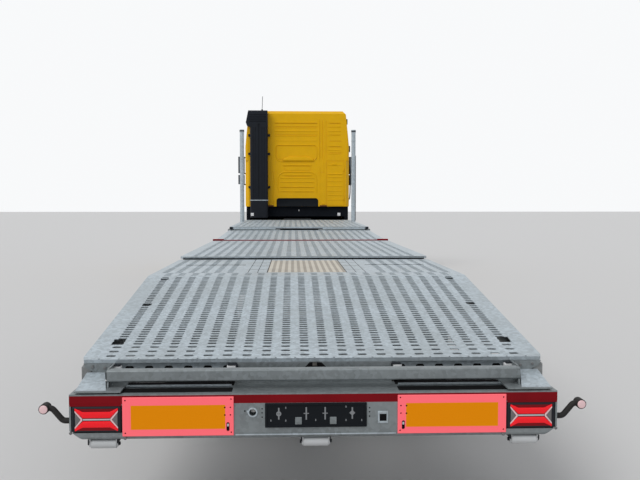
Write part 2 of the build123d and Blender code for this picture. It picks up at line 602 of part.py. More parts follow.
# Mudguards over the trailer wheels, hung from the side rails on brackets
GUARD_CLEAR = 62.0
GUARD_SHEET = 6.0
with BuildPart() as trailer_mudguards:
    for axle_y in trailer_axles_y:
        for side, _ in SIDES:
            inner_x = TRAILER_TWIN_X - TRAILER_TWIN_GAP / 2 - TRAILER_TYRE_W - 6
            span = mirrored(side, inner_x, half_deck - 4)
            with BuildSketch(Plane.YZ.offset(span[0])) as arch:
                with Locations((axle_y, TRAILER_TYRE_R)):
                    Circle(TRAILER_TYRE_R + GUARD_CLEAR + GUARD_SHEET)
                    Circle(TRAILER_TYRE_R + GUARD_CLEAR, mode=Mode.SUBTRACT)
                with Locations((axle_y, TRAILER_TYRE_R - 300)):
                    Rectangle(1400, 1100, mode=Mode.SUBTRACT)
            extrude(arch.sketch, amount=span[1] - span[0])
            top_z = TRAILER_TYRE_R + GUARD_CLEAR + TRAILER_TYRE_R + GUARD_SHEET / 2
            block(mirrored(side, half_deck - SIDE_RAIL_T, half_deck - SIDE_RAIL_T + 12),
                  (axle_y - 20, axle_y + 20), (top_z, frame_top(axle_y) - SIDE_RAIL_H))
trailer_mudguards.part.label = "trailer_mudguards"
export_step(trailer_mudguards.part, "parts/trailer_mudguards.step")


# Tractor frame: two channel rails, cross-members, and the tilt bearings of the cab at the front
RAIL_FRONT_GAP = 420.0
PIVOT_FROM_NOSE = 120.0
PIVOT_Z = 920.0
PIVOT_R = 24.0
PIVOT_END_X = 540.0
rail_end_y = nose_y - RAIL_FRONT_GAP
pivot_y = nose_y - PIVOT_FROM_NOSE
rail_out = RAIL_X + RAIL_W / 2
rail_in = RAIL_X - RAIL_W / 2
rail_low_z = RAIL_TOP_Z - RAIL_H
frame_members = (chassis_end_y, rear_axle_y + 420.0, kingpin_y + 700.0, cab_back_y - 480.0)
with BuildPart() as tractor_frame:
    for side, _ in SIDES:
        channel = [(rail_in, RAIL_TOP_Z), (rail_out, RAIL_TOP_Z), (rail_out, rail_low_z), (rail_in, rail_low_z)]
        channel += [(rail_in, rail_low_z + RAIL_T), (rail_out - RAIL_T, rail_low_z + RAIL_T)]
        channel += [(rail_out - RAIL_T, RAIL_TOP_Z - RAIL_T), (rail_in, RAIL_TOP_Z - RAIL_T)]
        rear_plate([(side * x, z) for x, z in channel], chassis_end_y, rail_end_y)
        horn = [(rail_end_y - 260, RAIL_TOP_Z - RAIL_T - 12), (rail_end_y - 260, rail_low_z + 30)]
        horn += [(pivot_y - 30, PIVOT_Z - 62), (pivot_y + 48, PIVOT_Z - 30), (pivot_y + 48, PIVOT_Z + 30)]
        horn += [(pivot_y - 30, PIVOT_Z + 52), (rail_end_y, RAIL_TOP_Z - RAIL_T - 12)]
        side_plate(horn, *mirrored(side, rail_out - RAIL_T - 22, rail_out))
        rod((side * (rail_out - RAIL_T), pivot_y, PIVOT_Z), (side * PIVOT_END_X, pivot_y, PIVOT_Z), PIVOT_R)
    for member_y in frame_members:
        block((-rail_out + RAIL_T, rail_out - RAIL_T), (member_y, member_y + 80),
              (rail_low_z + 60, RAIL_TOP_Z - RAIL_T))
    block((-rail_out + RAIL_T, rail_out - RAIL_T), (rail_end_y - 120, rail_end_y - 20),
          (rail_low_z + 20, rail_low_z + 150))
tractor_frame.part.label = "tractor_frame"
export_step(tractor_frame.part, "parts/tractor_frame.step")

# Engine: one plain block on four lugs that rest on the rails
ENGINE_HALF_W = 340.0
ENGINE_REAR_Y = cab_back_y + 330.0
ENGINE_L = 1250.0
ENGINE_LOW_Z = 640.0
ENGINE_TOP_Z = 1300.0
LUG_H = 30.0
with BuildPart() as engine_block:
    block((-ENGINE_HALF_W, ENGINE_HALF_W), (ENGINE_REAR_Y, ENGINE_REAR_Y + ENGINE_L), (ENGINE_LOW_Z, ENGINE_TOP_Z))
    for lug_y in (ENGINE_REAR_Y + 160, ENGINE_REAR_Y + ENGINE_L - 240):
        block((-rail_out, rail_out), (lug_y, lug_y + 90), (RAIL_TOP_Z, RAIL_TOP_Z + LUG_H))
engine_block.part.label = "engine_block"
export_step(engine_block.part, "parts/engine_block.step")

# Fifth wheel: plate with its throat open to the rear, jaw housing, pedestals and mounting plate
FIFTH_WHEEL_R = 455.0
FIFTH_WHEEL_T = 42.0
FIFTH_SHAFT_GAP = 0.1
PEDESTAL_X = 330.0
MOUNT_PLATE_T = 14.0
JAW_R = 120.0
with BuildPart() as fifth_wheel:
    plate_low = COUPLING_Z - FIFTH_WHEEL_T
    with BuildSketch(Plane.XY.offset(plate_low)) as plate:
        with Locations((0, kingpin_y)):
            Circle(FIFTH_WHEEL_R)
        with BuildLine():
            Polyline((0, kingpin_y), (-175, kingpin_y - 470), (175, kingpin_y - 470), close=True)
        make_face(mode=Mode.SUBTRACT)
        with Locations((0, kingpin_y)):
            Circle(JAW_R)
            Circle(KINGPIN_R + FIFTH_SHAFT_GAP, mode=Mode.SUBTRACT)
    extrude(plate.sketch, amount=FIFTH_WHEEL_T)
    with BuildSketch(Plane.XY.offset(plate_low - 60)) as jaw:
        with Locations((0, kingpin_y)):
            Circle(JAW_R)
            Circle(KINGPIN_R + FIFTH_SHAFT_GAP, mode=Mode.SUBTRACT)
    extrude(jaw.sketch, amount=60)
    block((-rail_out, rail_out), (kingpin_y - 380, kingpin_y + 380), (RAIL_TOP_Z, RAIL_TOP_Z + MOUNT_PLATE_T))
    block((-200, 200), (kingpin_y - 260, kingpin_y + 260), (RAIL_TOP_Z, RAIL_TOP_Z + MOUNT_PLATE_T),
          mode=Mode.SUBTRACT)
    for side, _ in SIDES:
        foot = [(kingpin_y - 210, RAIL_TOP_Z + MOUNT_PLATE_T), (kingpin_y + 210, RAIL_TOP_Z + MOUNT_PLATE_T)]
        foot += [(kingpin_y + 80, plate_low), (kingpin_y - 80, plate_low)]
        side_plate(foot, *mirrored(side, PEDESTAL_X - 35, PEDESTAL_X + 35))
fifth_wheel.part.label = "fifth_wheel"
export_step(fifth_wheel.part, "parts/fifth_wheel.step")

# Rear drive axle with its stubs, spring carriers and air springs under the rails
AXLE_TUBE_R = 72.0
AXLE_BOWL_R = 190.0
TRACTOR_STUB_R = 55.0
REAR_STUB_END = 1090.0
CARRIER_HALF = 520.0
BAG_R = 105.0
rear_tube_end = REAR_TWIN_X - REAR_TWIN_GAP / 2 - TRACTOR_TYRE_W - 30
with BuildPart() as rear_axle:
    axle_z = TRACTOR_TYRE_R
    rod((-rear_tube_end, rear_axle_y, axle_z), (rear_tube_end, rear_axle_y, axle_z), AXLE_TUBE_R)
    rod((-REAR_STUB_END, rear_axle_y, axle_z), (REAR_STUB_END, rear_axle_y, axle_z), TRACTOR_STUB_R)
    with Locations((0, rear_axle_y, axle_z)):
        Sphere(AXLE_BOWL_R)
    rod((0, rear_axle_y, axle_z), (0, rear_axle_y + 330, axle_z + 25), 85)
    for side, _ in SIDES:
        carrier = [(rear_axle_y - CARRIER_HALF, axle_z - 60), (rear_axle_y - 90, axle_z - 120)]
        carrier += [(rear_axle_y + 90, axle_z - 120), (rear_axle_y + CARRIER_HALF, axle_z - 60)]
        carrier += [(rear_axle_y + CARRIER_HALF, axle_z), (rear_axle_y - CARRIER_HALF, axle_z)]
        side_plate(carrier, *mirrored(side, RAIL_X - 40, RAIL_X + 40))
        for end in (-1, 1):
            bag_y = rear_axle_y + end * (CARRIER_HALF - 110)
            rod((side * RAIL_X, bag_y, axle_z - 10), (side * RAIL_X, bag_y, rail_low_z), BAG_R)
rear_axle.part.label = "rear_axle"
export_step(rear_axle.part, "parts/rear_axle.step")

# Front axle beam with its bosses, leaf springs and the hangers under the rails
STEER_X = 860.0
BOSS_R = 50.0
BOSS_HALF = 60.0
STEER_PIN_R = 22.0
SHAFT_GAP = 0.1
BEAM_DROP = 90.0
LEAF_HALF = 760.0
LEAF_T = 46.0
with BuildPart() as front_axle:
    axle_z = TRACTOR_TYRE_R
    beam = [(-STEER_X, axle_z + 35), (-STEER_X, axle_z - 45), (-560, axle_z - BEAM_DROP - 40)]
    beam += [(560, axle_z - BEAM_DROP - 40), (STEER_X, axle_z - 45), (STEER_X, axle_z + 35)]
    beam += [(520, axle_z - BEAM_DROP + 60), (-520, axle_z - BEAM_DROP + 60)]
    rear_plate(beam, front_axle_y - 45, front_axle_y + 45)
    for side, _ in SIDES:
        boss_x = side * STEER_X
        rod((boss_x, front_axle_y, axle_z - BOSS_HALF), (boss_x, front_axle_y, axle_z + BOSS_HALF), BOSS_R)
        rod((boss_x, front_axle_y, axle_z - BOSS_HALF), (boss_x, front_axle_y, axle_z + BOSS_HALF),
            STEER_PIN_R + SHAFT_GAP, mode=Mode.SUBTRACT)
        seat_z = axle_z - BEAM_DROP + 60
        eye_z = rail_low_z - 70
        with BuildSketch(Plane.YZ.offset(side * RAIL_X - 40)) as leaf:
            with BuildLine():
                ThreePointArc((front_axle_y - LEAF_HALF, eye_z), (front_axle_y, seat_z),
                              (front_axle_y + LEAF_HALF, eye_z))
                Line((front_axle_y + LEAF_HALF, eye_z), (front_axle_y + LEAF_HALF, eye_z + LEAF_T))
                ThreePointArc((front_axle_y + LEAF_HALF, eye_z + LEAF_T), (front_axle_y, seat_z + LEAF_T),
                              (front_axle_y - LEAF_HALF, eye_z + LEAF_T))
                Line((front_axle_y - LEAF_HALF, eye_z + LEAF_T), (front_axle_y - LEAF_HALF, eye_z))
            make_face()
        extrude(leaf.sketch, amount=80)
        block((side * RAIL_X - 50, side * RAIL_X + 50), (front_axle_y - 60, front_axle_y + 60),
              (seat_z - 20, seat_z + LEAF_T / 2))
        for end in (-1, 1):
            hang_y = front_axle_y + end * LEAF_HALF
            block((side * RAIL_X - 44, side * RAIL_X + 44), (hang_y - 40, hang_y + 40), (eye_z - 20, rail_low_z))
front_axle.part.label = "front_axle"
export_step(front_axle.part, "parts/front_axle.step")

# Steering knuckles: fork and pin through the axle boss, and the stub that carries the wheel
FORK_T = 36.0
FORK_GAP = 1.0
FORK_WEB_X = 920.0
STUB_END_X = 1150.0
for side, name in SIDES:
    with BuildPart() as knuckle:
        axle_z = TRACTOR_TYRE_R
        pin_x = side * STEER_X
        fork_low = axle_z - BOSS_HALF - FORK_GAP - FORK_T
        fork_high = axle_z + BOSS_HALF + FORK_GAP + FORK_T
        rod((pin_x, front_axle_y, fork_low), (pin_x, front_axle_y, fork_high), STEER_PIN_R)
        for low, high in ((fork_low, fork_low + FORK_T), (fork_high - FORK_T, fork_high)):
            with BuildSketch(Plane.XY.offset(low)) as ear:
                with Locations((pin_x, front_axle_y)):
                    Circle(BOSS_R)
                with Locations((side * (STEER_X + FORK_WEB_X + 30) / 2, front_axle_y)):
                    Rectangle(FORK_WEB_X + 30 - STEER_X, 2 * BOSS_R)
            extrude(ear.sketch, amount=high - low)
        block(mirrored(side, FORK_WEB_X, FORK_WEB_X + 30), (front_axle_y - BOSS_R, front_axle_y + BOSS_R),
              (fork_low, fork_high))
        rod((side * FORK_WEB_X, front_axle_y, axle_z), (side * STUB_END_X, front_axle_y, axle_z), TRACTOR_STUB_R)
    knuckle.part.label = f"knuckle_{name}"
    export_step(knuckle.part, f"parts/knuckle_{name}.step")


# Tanks along the rails: a long fuel tank on the right, a short one and the silencer on the left
TANK_START_Y = kingpin_y + 950.0
TANK_END_Y = front_axle_y - 700.0
TANK_IN_X = 480.0
TANK_OUT_X = 1200.0
TANK_LOW_Z = 430.0
TANK_TOP_Z = 960.0
TANK_ROUND = 95.0
LEFT_TANK_L = 820.0
SILENCER_DROP = 40.0
with BuildPart() as side_tanks:
    tanks = (
        (1, TANK_START_Y, TANK_END_Y, TANK_TOP_Z, TANK_ROUND),
        (-1, TANK_START_Y, TANK_START_Y + LEFT_TANK_L, TANK_TOP_Z, TANK_ROUND),
        (-1, TANK_START_Y + LEFT_TANK_L + 50, TANK_END_Y, TANK_TOP_Z - SILENCER_DROP, 30.0),
    )
    for side, start_y, end_y, top_z, round_r in tanks:
        with BuildSketch(Plane.XZ.offset(-start_y)) as section:
            with Locations((side * (TANK_IN_X + TANK_OUT_X) / 2, (TANK_LOW_Z + top_z) / 2)):
                RectangleRounded(TANK_OUT_X - TANK_IN_X, top_z - TANK_LOW_Z, round_r)
        extrude(section.sketch, amount=start_y - end_y)
        for bracket_y in (start_y + 120, end_y - 180):
            block(mirrored(side, rail_out, TANK_IN_X + 20), (bracket_y, bracket_y + 60),
                  (rail_low_z + 40, rail_low_z + 190))
side_tanks.part.label = "side_tanks"
export_step(side_tanks.part, "parts/side_tanks.step")

# Tractor mudguards on brackets from the rails, and the entry steps ahead of the front wheels
REAR_GUARD_R = TRACTOR_TYRE_R + 60.0
FRONT_GUARD_R = TRACTOR_TYRE_R + 120.0
STEP_IN_X = 790.0
STEP_END_Y = nose_y - 200.0
STEP_LOW_Z = 330.0
STEP_TOP_Z = CAB_SILL_Z - 38.0
STEP_TREAD_T = 40.0
STEP_DEPTH = 230.0
with BuildPart() as steps_and_mudguards:
    arches = (
        (rear_axle_y, REAR_GUARD_R, rear_tube_end + 22, TRACTOR_TYRE_R + 30),
        (front_axle_y, FRONT_GUARD_R, 700.0, TRACTOR_TYRE_R),
    )
    for arch_y, arch_r, inner_x, cut_z in arches:
        for side, _ in SIDES:
            span = mirrored(side, inner_x, CAB_HALF - 2)
            with BuildSketch(Plane.YZ.offset(span[0])) as arch:
                with Locations((arch_y, TRACTOR_TYRE_R)):
                    Circle(arch_r + GUARD_SHEET)
                    Circle(arch_r, mode=Mode.SUBTRACT)
                with Locations((arch_y, cut_z - 500)):
                    Rectangle(2000, 1000, mode=Mode.SUBTRACT)
            extrude(arch.sketch, amount=span[1] - span[0])
            top_z = TRACTOR_TYRE_R + arch_r
            block(mirrored(side, rail_out, rail_out + 8), (arch_y - 30, arch_y + 30), (RAIL_TOP_Z - 60, top_z))
            block(mirrored(side, rail_out, inner_x + 30), (arch_y - 30, arch_y + 30), (top_z - 8, top_z + 2))
    step_y_low = front_axle_y + FRONT_GUARD_R + 4
    for side, _ in SIDES:
        block(mirrored(side, STEP_IN_X, CAB_HALF - 5), (step_y_low, STEP_END_Y), (STEP_LOW_Z, STEP_TOP_Z))
        tread_pitch = (STEP_TOP_Z - STEP_LOW_Z) / 3
        for n in range(3):
            notch_low = STEP_LOW_Z + n * tread_pitch + STEP_TREAD_T
            block(mirrored(side, CAB_HALF - 5 - STEP_DEPTH, CAB_HALF), (step_y_low + 50, STEP_END_Y - 50),
                  (notch_low, STEP_LOW_Z + (n + 1) * tread_pitch - (0 if n < 2 else 20)), mode=Mode.SUBTRACT)
        rod((side * rail_out, step_y_low + 160, RAIL_TOP_Z - 120), (side * (STEP_IN_X + 5), step_y_low + 160,
            RAIL_TOP_Z - 120), 20)
steps_and_mudguards.part.label = "steps_and_mudguards"
export_step(steps_and_mudguards.part, "parts/steps_and_mudguards.step")

# Front bumper: rounded corners, top sloped to let the cab swing over it, lamp and air openings
BUMPER_LOW_Z = 310.0
BUMPER_WALL = 50.0
INTAKE_HALF = 420.0
INTAKE_LOW_Z = 430.0
INTAKE_HIGH_Z = 620.0
BUMPER_RETURN = 60.0
BUMPER_DEPTH = 190.0
BUMPER_ROUND = 120.0
HEADLAMP_X = 980.0
HEADLAMP_W = 320.0
HEADLAMP_H = 220.0
HEADLAMP_Z = 690.0
HEADLAMP_DEPTH = 78.0
TOW_X = 560.0
TOW_Z = 520.0
TOW_R = 22.0
BUMPER_TOP_Z = PIVOT_Z + 62.0
TOW_BOSS_R = 42.0
TOW_DEPTH = 110.0
bumper_y = nose_y - BUMPER_DEPTH
with BuildPart() as bumper:
    block((-CAB_HALF, CAB_HALF), (bumper_y, nose_y), (BUMPER_LOW_Z, BUMPER_TOP_Z))
    corners = bumper.edges().filter_by(Axis.Z).group_by(Axis.Y)[-1]
    fillet(corners, radius=BUMPER_ROUND)
    bow = [(bumper_y, BUMPER_LOW_Z), (nose_y - 50, BUMPER_LOW_Z), (nose_y, BUMPER_LOW_Z + 110)]
    bow += [(nose_y, PIVOT_Z - 28), (nose_y - 26, PIVOT_Z + 18), (nose_y - 62, BUMPER_TOP_Z)]
    bow += [(bumper_y, BUMPER_TOP_Z)]
    side_plate(bow, -CAB_HALF, CAB_HALF, mode=Mode.INTERSECT)
    block((-CAB_HALF + BUMPER_RETURN, CAB_HALF - BUMPER_RETURN), (bumper_y, nose_y - BUMPER_WALL),
          (BUMPER_LOW_Z, BUMPER_TOP_Z), mode=Mode.SUBTRACT)
    block((-INTAKE_HALF, INTAKE_HALF), (nose_y - BUMPER_WALL, nose_y), (INTAKE_LOW_Z, INTAKE_HIGH_Z),
          mode=Mode.SUBTRACT)
    for slat_z in (INTAKE_LOW_Z + 54, INTAKE_LOW_Z + 116):
        block((-INTAKE_HALF, INTAKE_HALF), (nose_y - 44, nose_y - 14), (slat_z, slat_z + 16))
    for side, _ in SIDES:
        block((side * HEADLAMP_X - HEADLAMP_W / 2, side * HEADLAMP_X + HEADLAMP_W / 2),
              (nose_y - HEADLAMP_DEPTH, nose_y), (HEADLAMP_Z - HEADLAMP_H / 2, HEADLAMP_Z + HEADLAMP_H / 2),
              mode=Mode.SUBTRACT)
        socket_y = nose_y - TOW_DEPTH
        rod((side * TOW_X, socket_y, TOW_Z), (side * TOW_X, nose_y - BUMPER_WALL + 2, TOW_Z), TOW_BOSS_R)
        rod((side * TOW_X, socket_y, TOW_Z), (side * TOW_X, nose_y, TOW_Z), TOW_R, mode=Mode.SUBTRACT)
        block(mirrored(side, 300, 342), (rail_end_y - 20, nose_y - BUMPER_WALL + 2),
              (rail_low_z + 30, rail_low_z + 110))
bumper.part.label = "bumper"
export_step(bumper.part, "parts/bumper.step")

with BuildPart() as headlamps:
    for side, _ in SIDES:
        with BuildSketch(Plane.XZ.offset(-(nose_y - HEADLAMP_DEPTH + RUNNING_GAP))) as lamp:
            with Locations((side * HEADLAMP_X, HEADLAMP_Z)):
                Rectangle(HEADLAMP_W - 2 * RUNNING_GAP, HEADLAMP_H - 2 * RUNNING_GAP)
        extrude(lamp.sketch, amount=-(HEADLAMP_DEPTH - 14))
    chamfer(headlamps.faces().sort_by(Axis.Y)[-2:].edges(), length=10)
headlamps.part.label = "headlamps"
export_step(headlamps.part, "parts/headlamps.step")


# Cab shell: side outline with the high roof, hollow, with door and windscreen openings
CAB_FACE_BACK = 60.0
FACE_TOP_Z = 1900.0
SCREEN_TOP_Z = 2980.0
SCREEN_RAKE = 140.0
ARCH_TOP_Z = 1160.0
PILLAR_Y = cab_back_y + 980.0
REAR_ROUND = 70.0
face_y = nose_y - CAB_FACE_BACK
screen_top_y = face_y - SCREEN_RAKE
cab_outline = [
    (cab_back_y, CAB_BACK_LOW_Z),
    (PILLAR_Y, CAB_BACK_LOW_Z),
    (PILLAR_Y, ARCH_TOP_Z),
    (front_axle_y + 490, ARCH_TOP_Z),
    (front_axle_y + 600, CAB_SILL_Z),
    (face_y, CAB_SILL_Z),
    (face_y, FACE_TOP_Z),
    (screen_top_y, SCREEN_TOP_Z),
    (screen_top_y - 60, 3240),
    (screen_top_y - 520, 3790),
    (screen_top_y - 860, CAB_TOP_Z),
    (cab_back_y + 90, CAB_TOP_Z - 20),
    (cab_back_y, CAB_TOP_Z - 90),
]
DOOR_LOW_Z = 1075.0
DOOR_TOP_Z = 2950.0
DOOR_FRONT_Y = nose_y - 220.0
DOOR_REAR_Y = PILLAR_Y + 100.0
door_outline = [
    (DOOR_REAR_Y, ARCH_TOP_Z + 25),
    (front_axle_y + 505, ARCH_TOP_Z + 25),
    (front_axle_y + 605, DOOR_LOW_Z),
    (DOOR_FRONT_Y, DOOR_LOW_Z),
    (DOOR_FRONT_Y, 1950),
    (DOOR_FRONT_Y - 110, DOOR_TOP_Z - 40),
    (DOOR_FRONT_Y - 150, DOOR_TOP_Z),
    (DOOR_REAR_Y + 60, DOOR_TOP_Z),
    (DOOR_REAR_Y, DOOR_TOP_Z - 60),
]
WINDOW_LOW_Z = 1990.0
window_outline = [
    (DOOR_REAR_Y + 70, WINDOW_LOW_Z + 70),
    (DOOR_FRONT_Y - 140, WINDOW_LOW_Z - 60),
    (DOOR_FRONT_Y - 160, WINDOW_LOW_Z + 180),
    (DOOR_FRONT_Y - 240, DOOR_TOP_Z - 75),
    (DOOR_REAR_Y + 90, DOOR_TOP_Z - 75),
    (DOOR_REAR_Y + 70, DOOR_TOP_Z - 110),
]
HINGE_X = CAB_HALF + 18.0
HINGE_Y = DOOR_FRONT_Y + 6.0
HINGE_R = 14.0
HINGE_PIN_R = 7.0
HINGE_LEVELS = (1230.0, 1820.0)
LEAF_T = 10.0
SCREEN_LOW_Z = 1965.0
SCREEN_HIGH_Z = 2925.0
SCREEN_HALF = 1085.0
SCREEN_SEAL = 0.3
SCREEN_T = 10.0
screen_slope = SCREEN_RAKE / (SCREEN_TOP_Z - FACE_TOP_Z)

# Sides of the cab as seen from behind: upright, leaning in above the doors, then the roof's round edge
LEAN_Z = 3000.0
LEAN_TOP_Z = 3780.0
LEAN_TOP_X = 1160.0
ROOF_ROUND = 90.0
LEAN_WALL = 50.0
# Lower rear corners are cut back for the hatches
HATCH_TOP_Z = 2690.0
HATCH_SET_IN = 80.0
HATCH_SET_BACK = 95.0
# Pressings of the back wall, seen from behind: beads (low x, high x, z), then panels (x, z, width, height)
PRESS_DEPTH = 8.0
BEAD_H = 20.0
BEADS = (
    (-520.0, 485.0, 3567.0), (-520.0, 485.0, 3487.0), (-520.0, 485.0, 3385.0), (-520.0, 485.0, 3295.0),
    (775.0, 1040.0, 3567.0), (775.0, 1040.0, 3487.0), (775.0, 1040.0, 3385.0), (775.0, 1040.0, 3295.0),
    (775.0, 1060.0, 3150.0), (775.0, 1060.0, 3010.0), (775.0, 1060.0, 2870.0),
    (-300.0, 305.0, 2310.0), (-390.0, 385.0, 2170.0), (-390.0, 385.0, 2050.0), (-390.0, 385.0, 1945.0),
    (760.0, 1080.0, 2560.0), (760.0, 1080.0, 2230.0), (760.0, 1080.0, 2100.0), (760.0, 1080.0, 1970.0),
    (760.0, 1080.0, 1830.0), (760.0, 1080.0, 1700.0), (-640.0, -480.0, 2409.0), (480.0, 650.0, 2409.0),
)
PANELS = ((-14.0, 2878.0, 970.0, 345.0), (2.0, 2500.0, 640.0, 138.0))
PANEL_ROUND = 55.0
RIDGES_X = (545.0, 600.0, 690.0)
RIDGE_W = 16.0
RIDGE_LOW_Z = 2740.0
RIDGE_TOP_Z = 3640.0
HATCH_FRAME_X = 1130.0
ARCH_HALF = 500.0
ARCH_H = 200.0
ARCH_DEPTH = 32.0
ARCH_ROUND = 70.0


def lean_outline(inset):
    """Outline of the cab from behind, as a sketch, with its upper sides leaning in."""
    low_z = CAB_SILL_Z - 100 + inset
    half = CAB_HALF - inset
    lean = LEAN_TOP_X - inset
    roof_z = CAB_TOP_Z + 1 - inset
    side_points = [(half, low_z), (half, LEAN_Z), (lean, LEAN_TOP_Z), (lean - ROOF_ROUND, roof_z)]
    with BuildSketch(Plane.XZ.offset(-cab_back_y + 10)) as outline:
        with BuildLine():
            Polyline(*side_points, *[(-x, z) for x, z in reversed(side_points)], close=True)
        make_face()
    return outline.sketch


def screen_y(z):
    """Station of the outside of the windscreen wall at a height."""
    return face_y - screen_slope * (z - FACE_TOP_Z)


with BuildPart() as cab_shell:
    side_plate(cab_outline, -CAB_HALF, CAB_HALF)
    rear_corners = cab_shell.edges().filter_by(Axis.Z).filter_by_position(Axis.Y, cab_back_y - 1, cab_back_y + 1)
    fillet(rear_corners, radius=REAR_ROUND)
    front_corners = cab_shell.edges().filter_by(Axis.Z).filter_by_position(Axis.Y, face_y - 1, face_y + 1)
    fillet(front_corners, radius=REAR_ROUND + 30)
    extrude(lean_outline(0), amount=-CAB_LENGTH - 20, mode=Mode.INTERSECT)
    with BuildSketch(Plane.YZ.offset(-CAB_HALF + DOOR_T)) as inside:
        with BuildLine():
            Polyline(*cab_outline, close=True)
        make_face()
        offset(amount=-CAB_WALL, kind=Kind.INTERSECTION)
    with BuildPart(mode=Mode.PRIVATE) as room:
        extrude(inside.sketch, amount=2 * (CAB_HALF - DOOR_T))
        extrude(lean_outline(LEAN_WALL), amount=-CAB_LENGTH - 20, mode=Mode.INTERSECT)
    add(room.part, mode=Mode.SUBTRACT)
    block((-CAB_HALF + DOOR_T, CAB_HALF - DOOR_T), (cab_back_y + CAB_WALL, face_y - CAB_WALL),
          (CAB_SILL_Z - 20, CAB_BACK_LOW_Z + 2 * CAB_WALL), mode=Mode.SUBTRACT)
    side_plate(door_outline, -CAB_HALF, -CAB_HALF + DOOR_T, mode=Mode.SUBTRACT)
    side_plate(door_outline, CAB_HALF - DOOR_T, CAB_HALF, mode=Mode.SUBTRACT)
    screen_hole = [(screen_y(SCREEN_LOW_Z) + 20, SCREEN_LOW_Z), (screen_y(SCREEN_LOW_Z) - 90, SCREEN_LOW_Z)]
    screen_hole += [(screen_y(SCREEN_HIGH_Z) - 90, SCREEN_HIGH_Z), (screen_y(SCREEN_HIGH_Z) + 20, SCREEN_HIGH_Z)]
    side_plate(screen_hole, -SCREEN_HALF, SCREEN_HALF, mode=Mode.SUBTRACT)
    for side, _ in SIDES:
        for level in HINGE_LEVELS:
            for low_z in (level - 45, level + 16):
                block(mirrored(side, CAB_HALF - 2, CAB_HALF + LEAF_T), (HINGE_Y, HINGE_Y + 44), (low_z, low_z + 29))
                rod((side * HINGE_X, HINGE_Y, low_z), (side * HINGE_X, HINGE_Y, low_z + 29), HINGE_R)
            rod((side * HINGE_X, HINGE_Y, level - 45), (side * HINGE_X, HINGE_Y, level + 45), HINGE_PIN_R)
    for side, _ in SIDES:
        cut_back = [(side * (CAB_HALF - HATCH_SET_IN), cab_back_y - 1), (side * (CAB_HALF + 1), cab_back_y - 1)]
        cut_back += [(side * (CAB_HALF + 1), cab_back_y + HATCH_SET_BACK)]
        plan_plate(cut_back, CAB_BACK_LOW_Z - 1, HATCH_TOP_Z, mode=Mode.SUBTRACT)
    with BuildSketch(Plane.XZ.offset(-cab_back_y)) as pressings:
        for low_x, high_x, bead_z in BEADS:
            with Locations(((low_x + high_x) / 2, bead_z)):
                SlotOverall(high_x - low_x, BEAD_H)
        for panel_x, panel_z, panel_w, panel_h in PANELS:
            with Locations((panel_x, panel_z)):
                RectangleRounded(panel_w, panel_h, PANEL_ROUND)
                RectangleRounded(panel_w - 2 * BEAD_H, panel_h - 2 * BEAD_H, PANEL_ROUND - BEAD_H / 2,
                                 mode=Mode.SUBTRACT)
        for ridge_x in RIDGES_X:
            with Locations((ridge_x, (RIDGE_LOW_Z + RIDGE_TOP_Z) / 2)):
                SlotOverall(RIDGE_TOP_Z - RIDGE_LOW_Z, RIDGE_W, rotation=90)
        frame_w = HATCH_FRAME_X - RIDGES_X[-1]
        frame_h = HATCH_TOP_Z - CAB_BACK_LOW_Z
        with Locations(((RIDGES_X[-1] + HATCH_FRAME_X) / 2, (CAB_BACK_LOW_Z + HATCH_TOP_Z) / 2)):
            Rectangle(frame_w, frame_h)
            Rectangle(frame_w - 2 * BEAD_H, frame_h - 2 * BEAD_H, mode=Mode.SUBTRACT)
    extrude(pressings.sketch, amount=-PRESS_DEPTH, mode=Mode.SUBTRACT)
    with BuildSketch(Plane.XZ.offset(-cab_back_y)) as tunnel:
        with Locations((0, CAB_BACK_LOW_Z)):
            RectangleRounded(2 * ARCH_HALF, 2 * ARCH_H, ARCH_ROUND)
    extrude(tunnel.sketch, amount=-ARCH_DEPTH, mode=Mode.SUBTRACT)
cab_shell.part.label = "cab_shell"
export_step(cab_shell.part, "parts/cab_shell.step")

with BuildPart() as windscreen:
    glass_low = SCREEN_LOW_Z + SCREEN_SEAL
    glass_high = SCREEN_HIGH_Z - SCREEN_SEAL
    glass = [(screen_y(glass_low) - SCREEN_T, glass_low), (screen_y(glass_low) - 2 * SCREEN_T, glass_low)]
    glass += [(screen_y(glass_high) - 2 * SCREEN_T, glass_high), (screen_y(glass_high) - SCREEN_T, glass_high)]
    side_plate(glass, -SCREEN_HALF + SCREEN_SEAL, SCREEN_HALF - SCREEN_SEAL)
windscreen.part.label = "windscreen"
export_step(windscreen.part, "parts/windscreen.step")

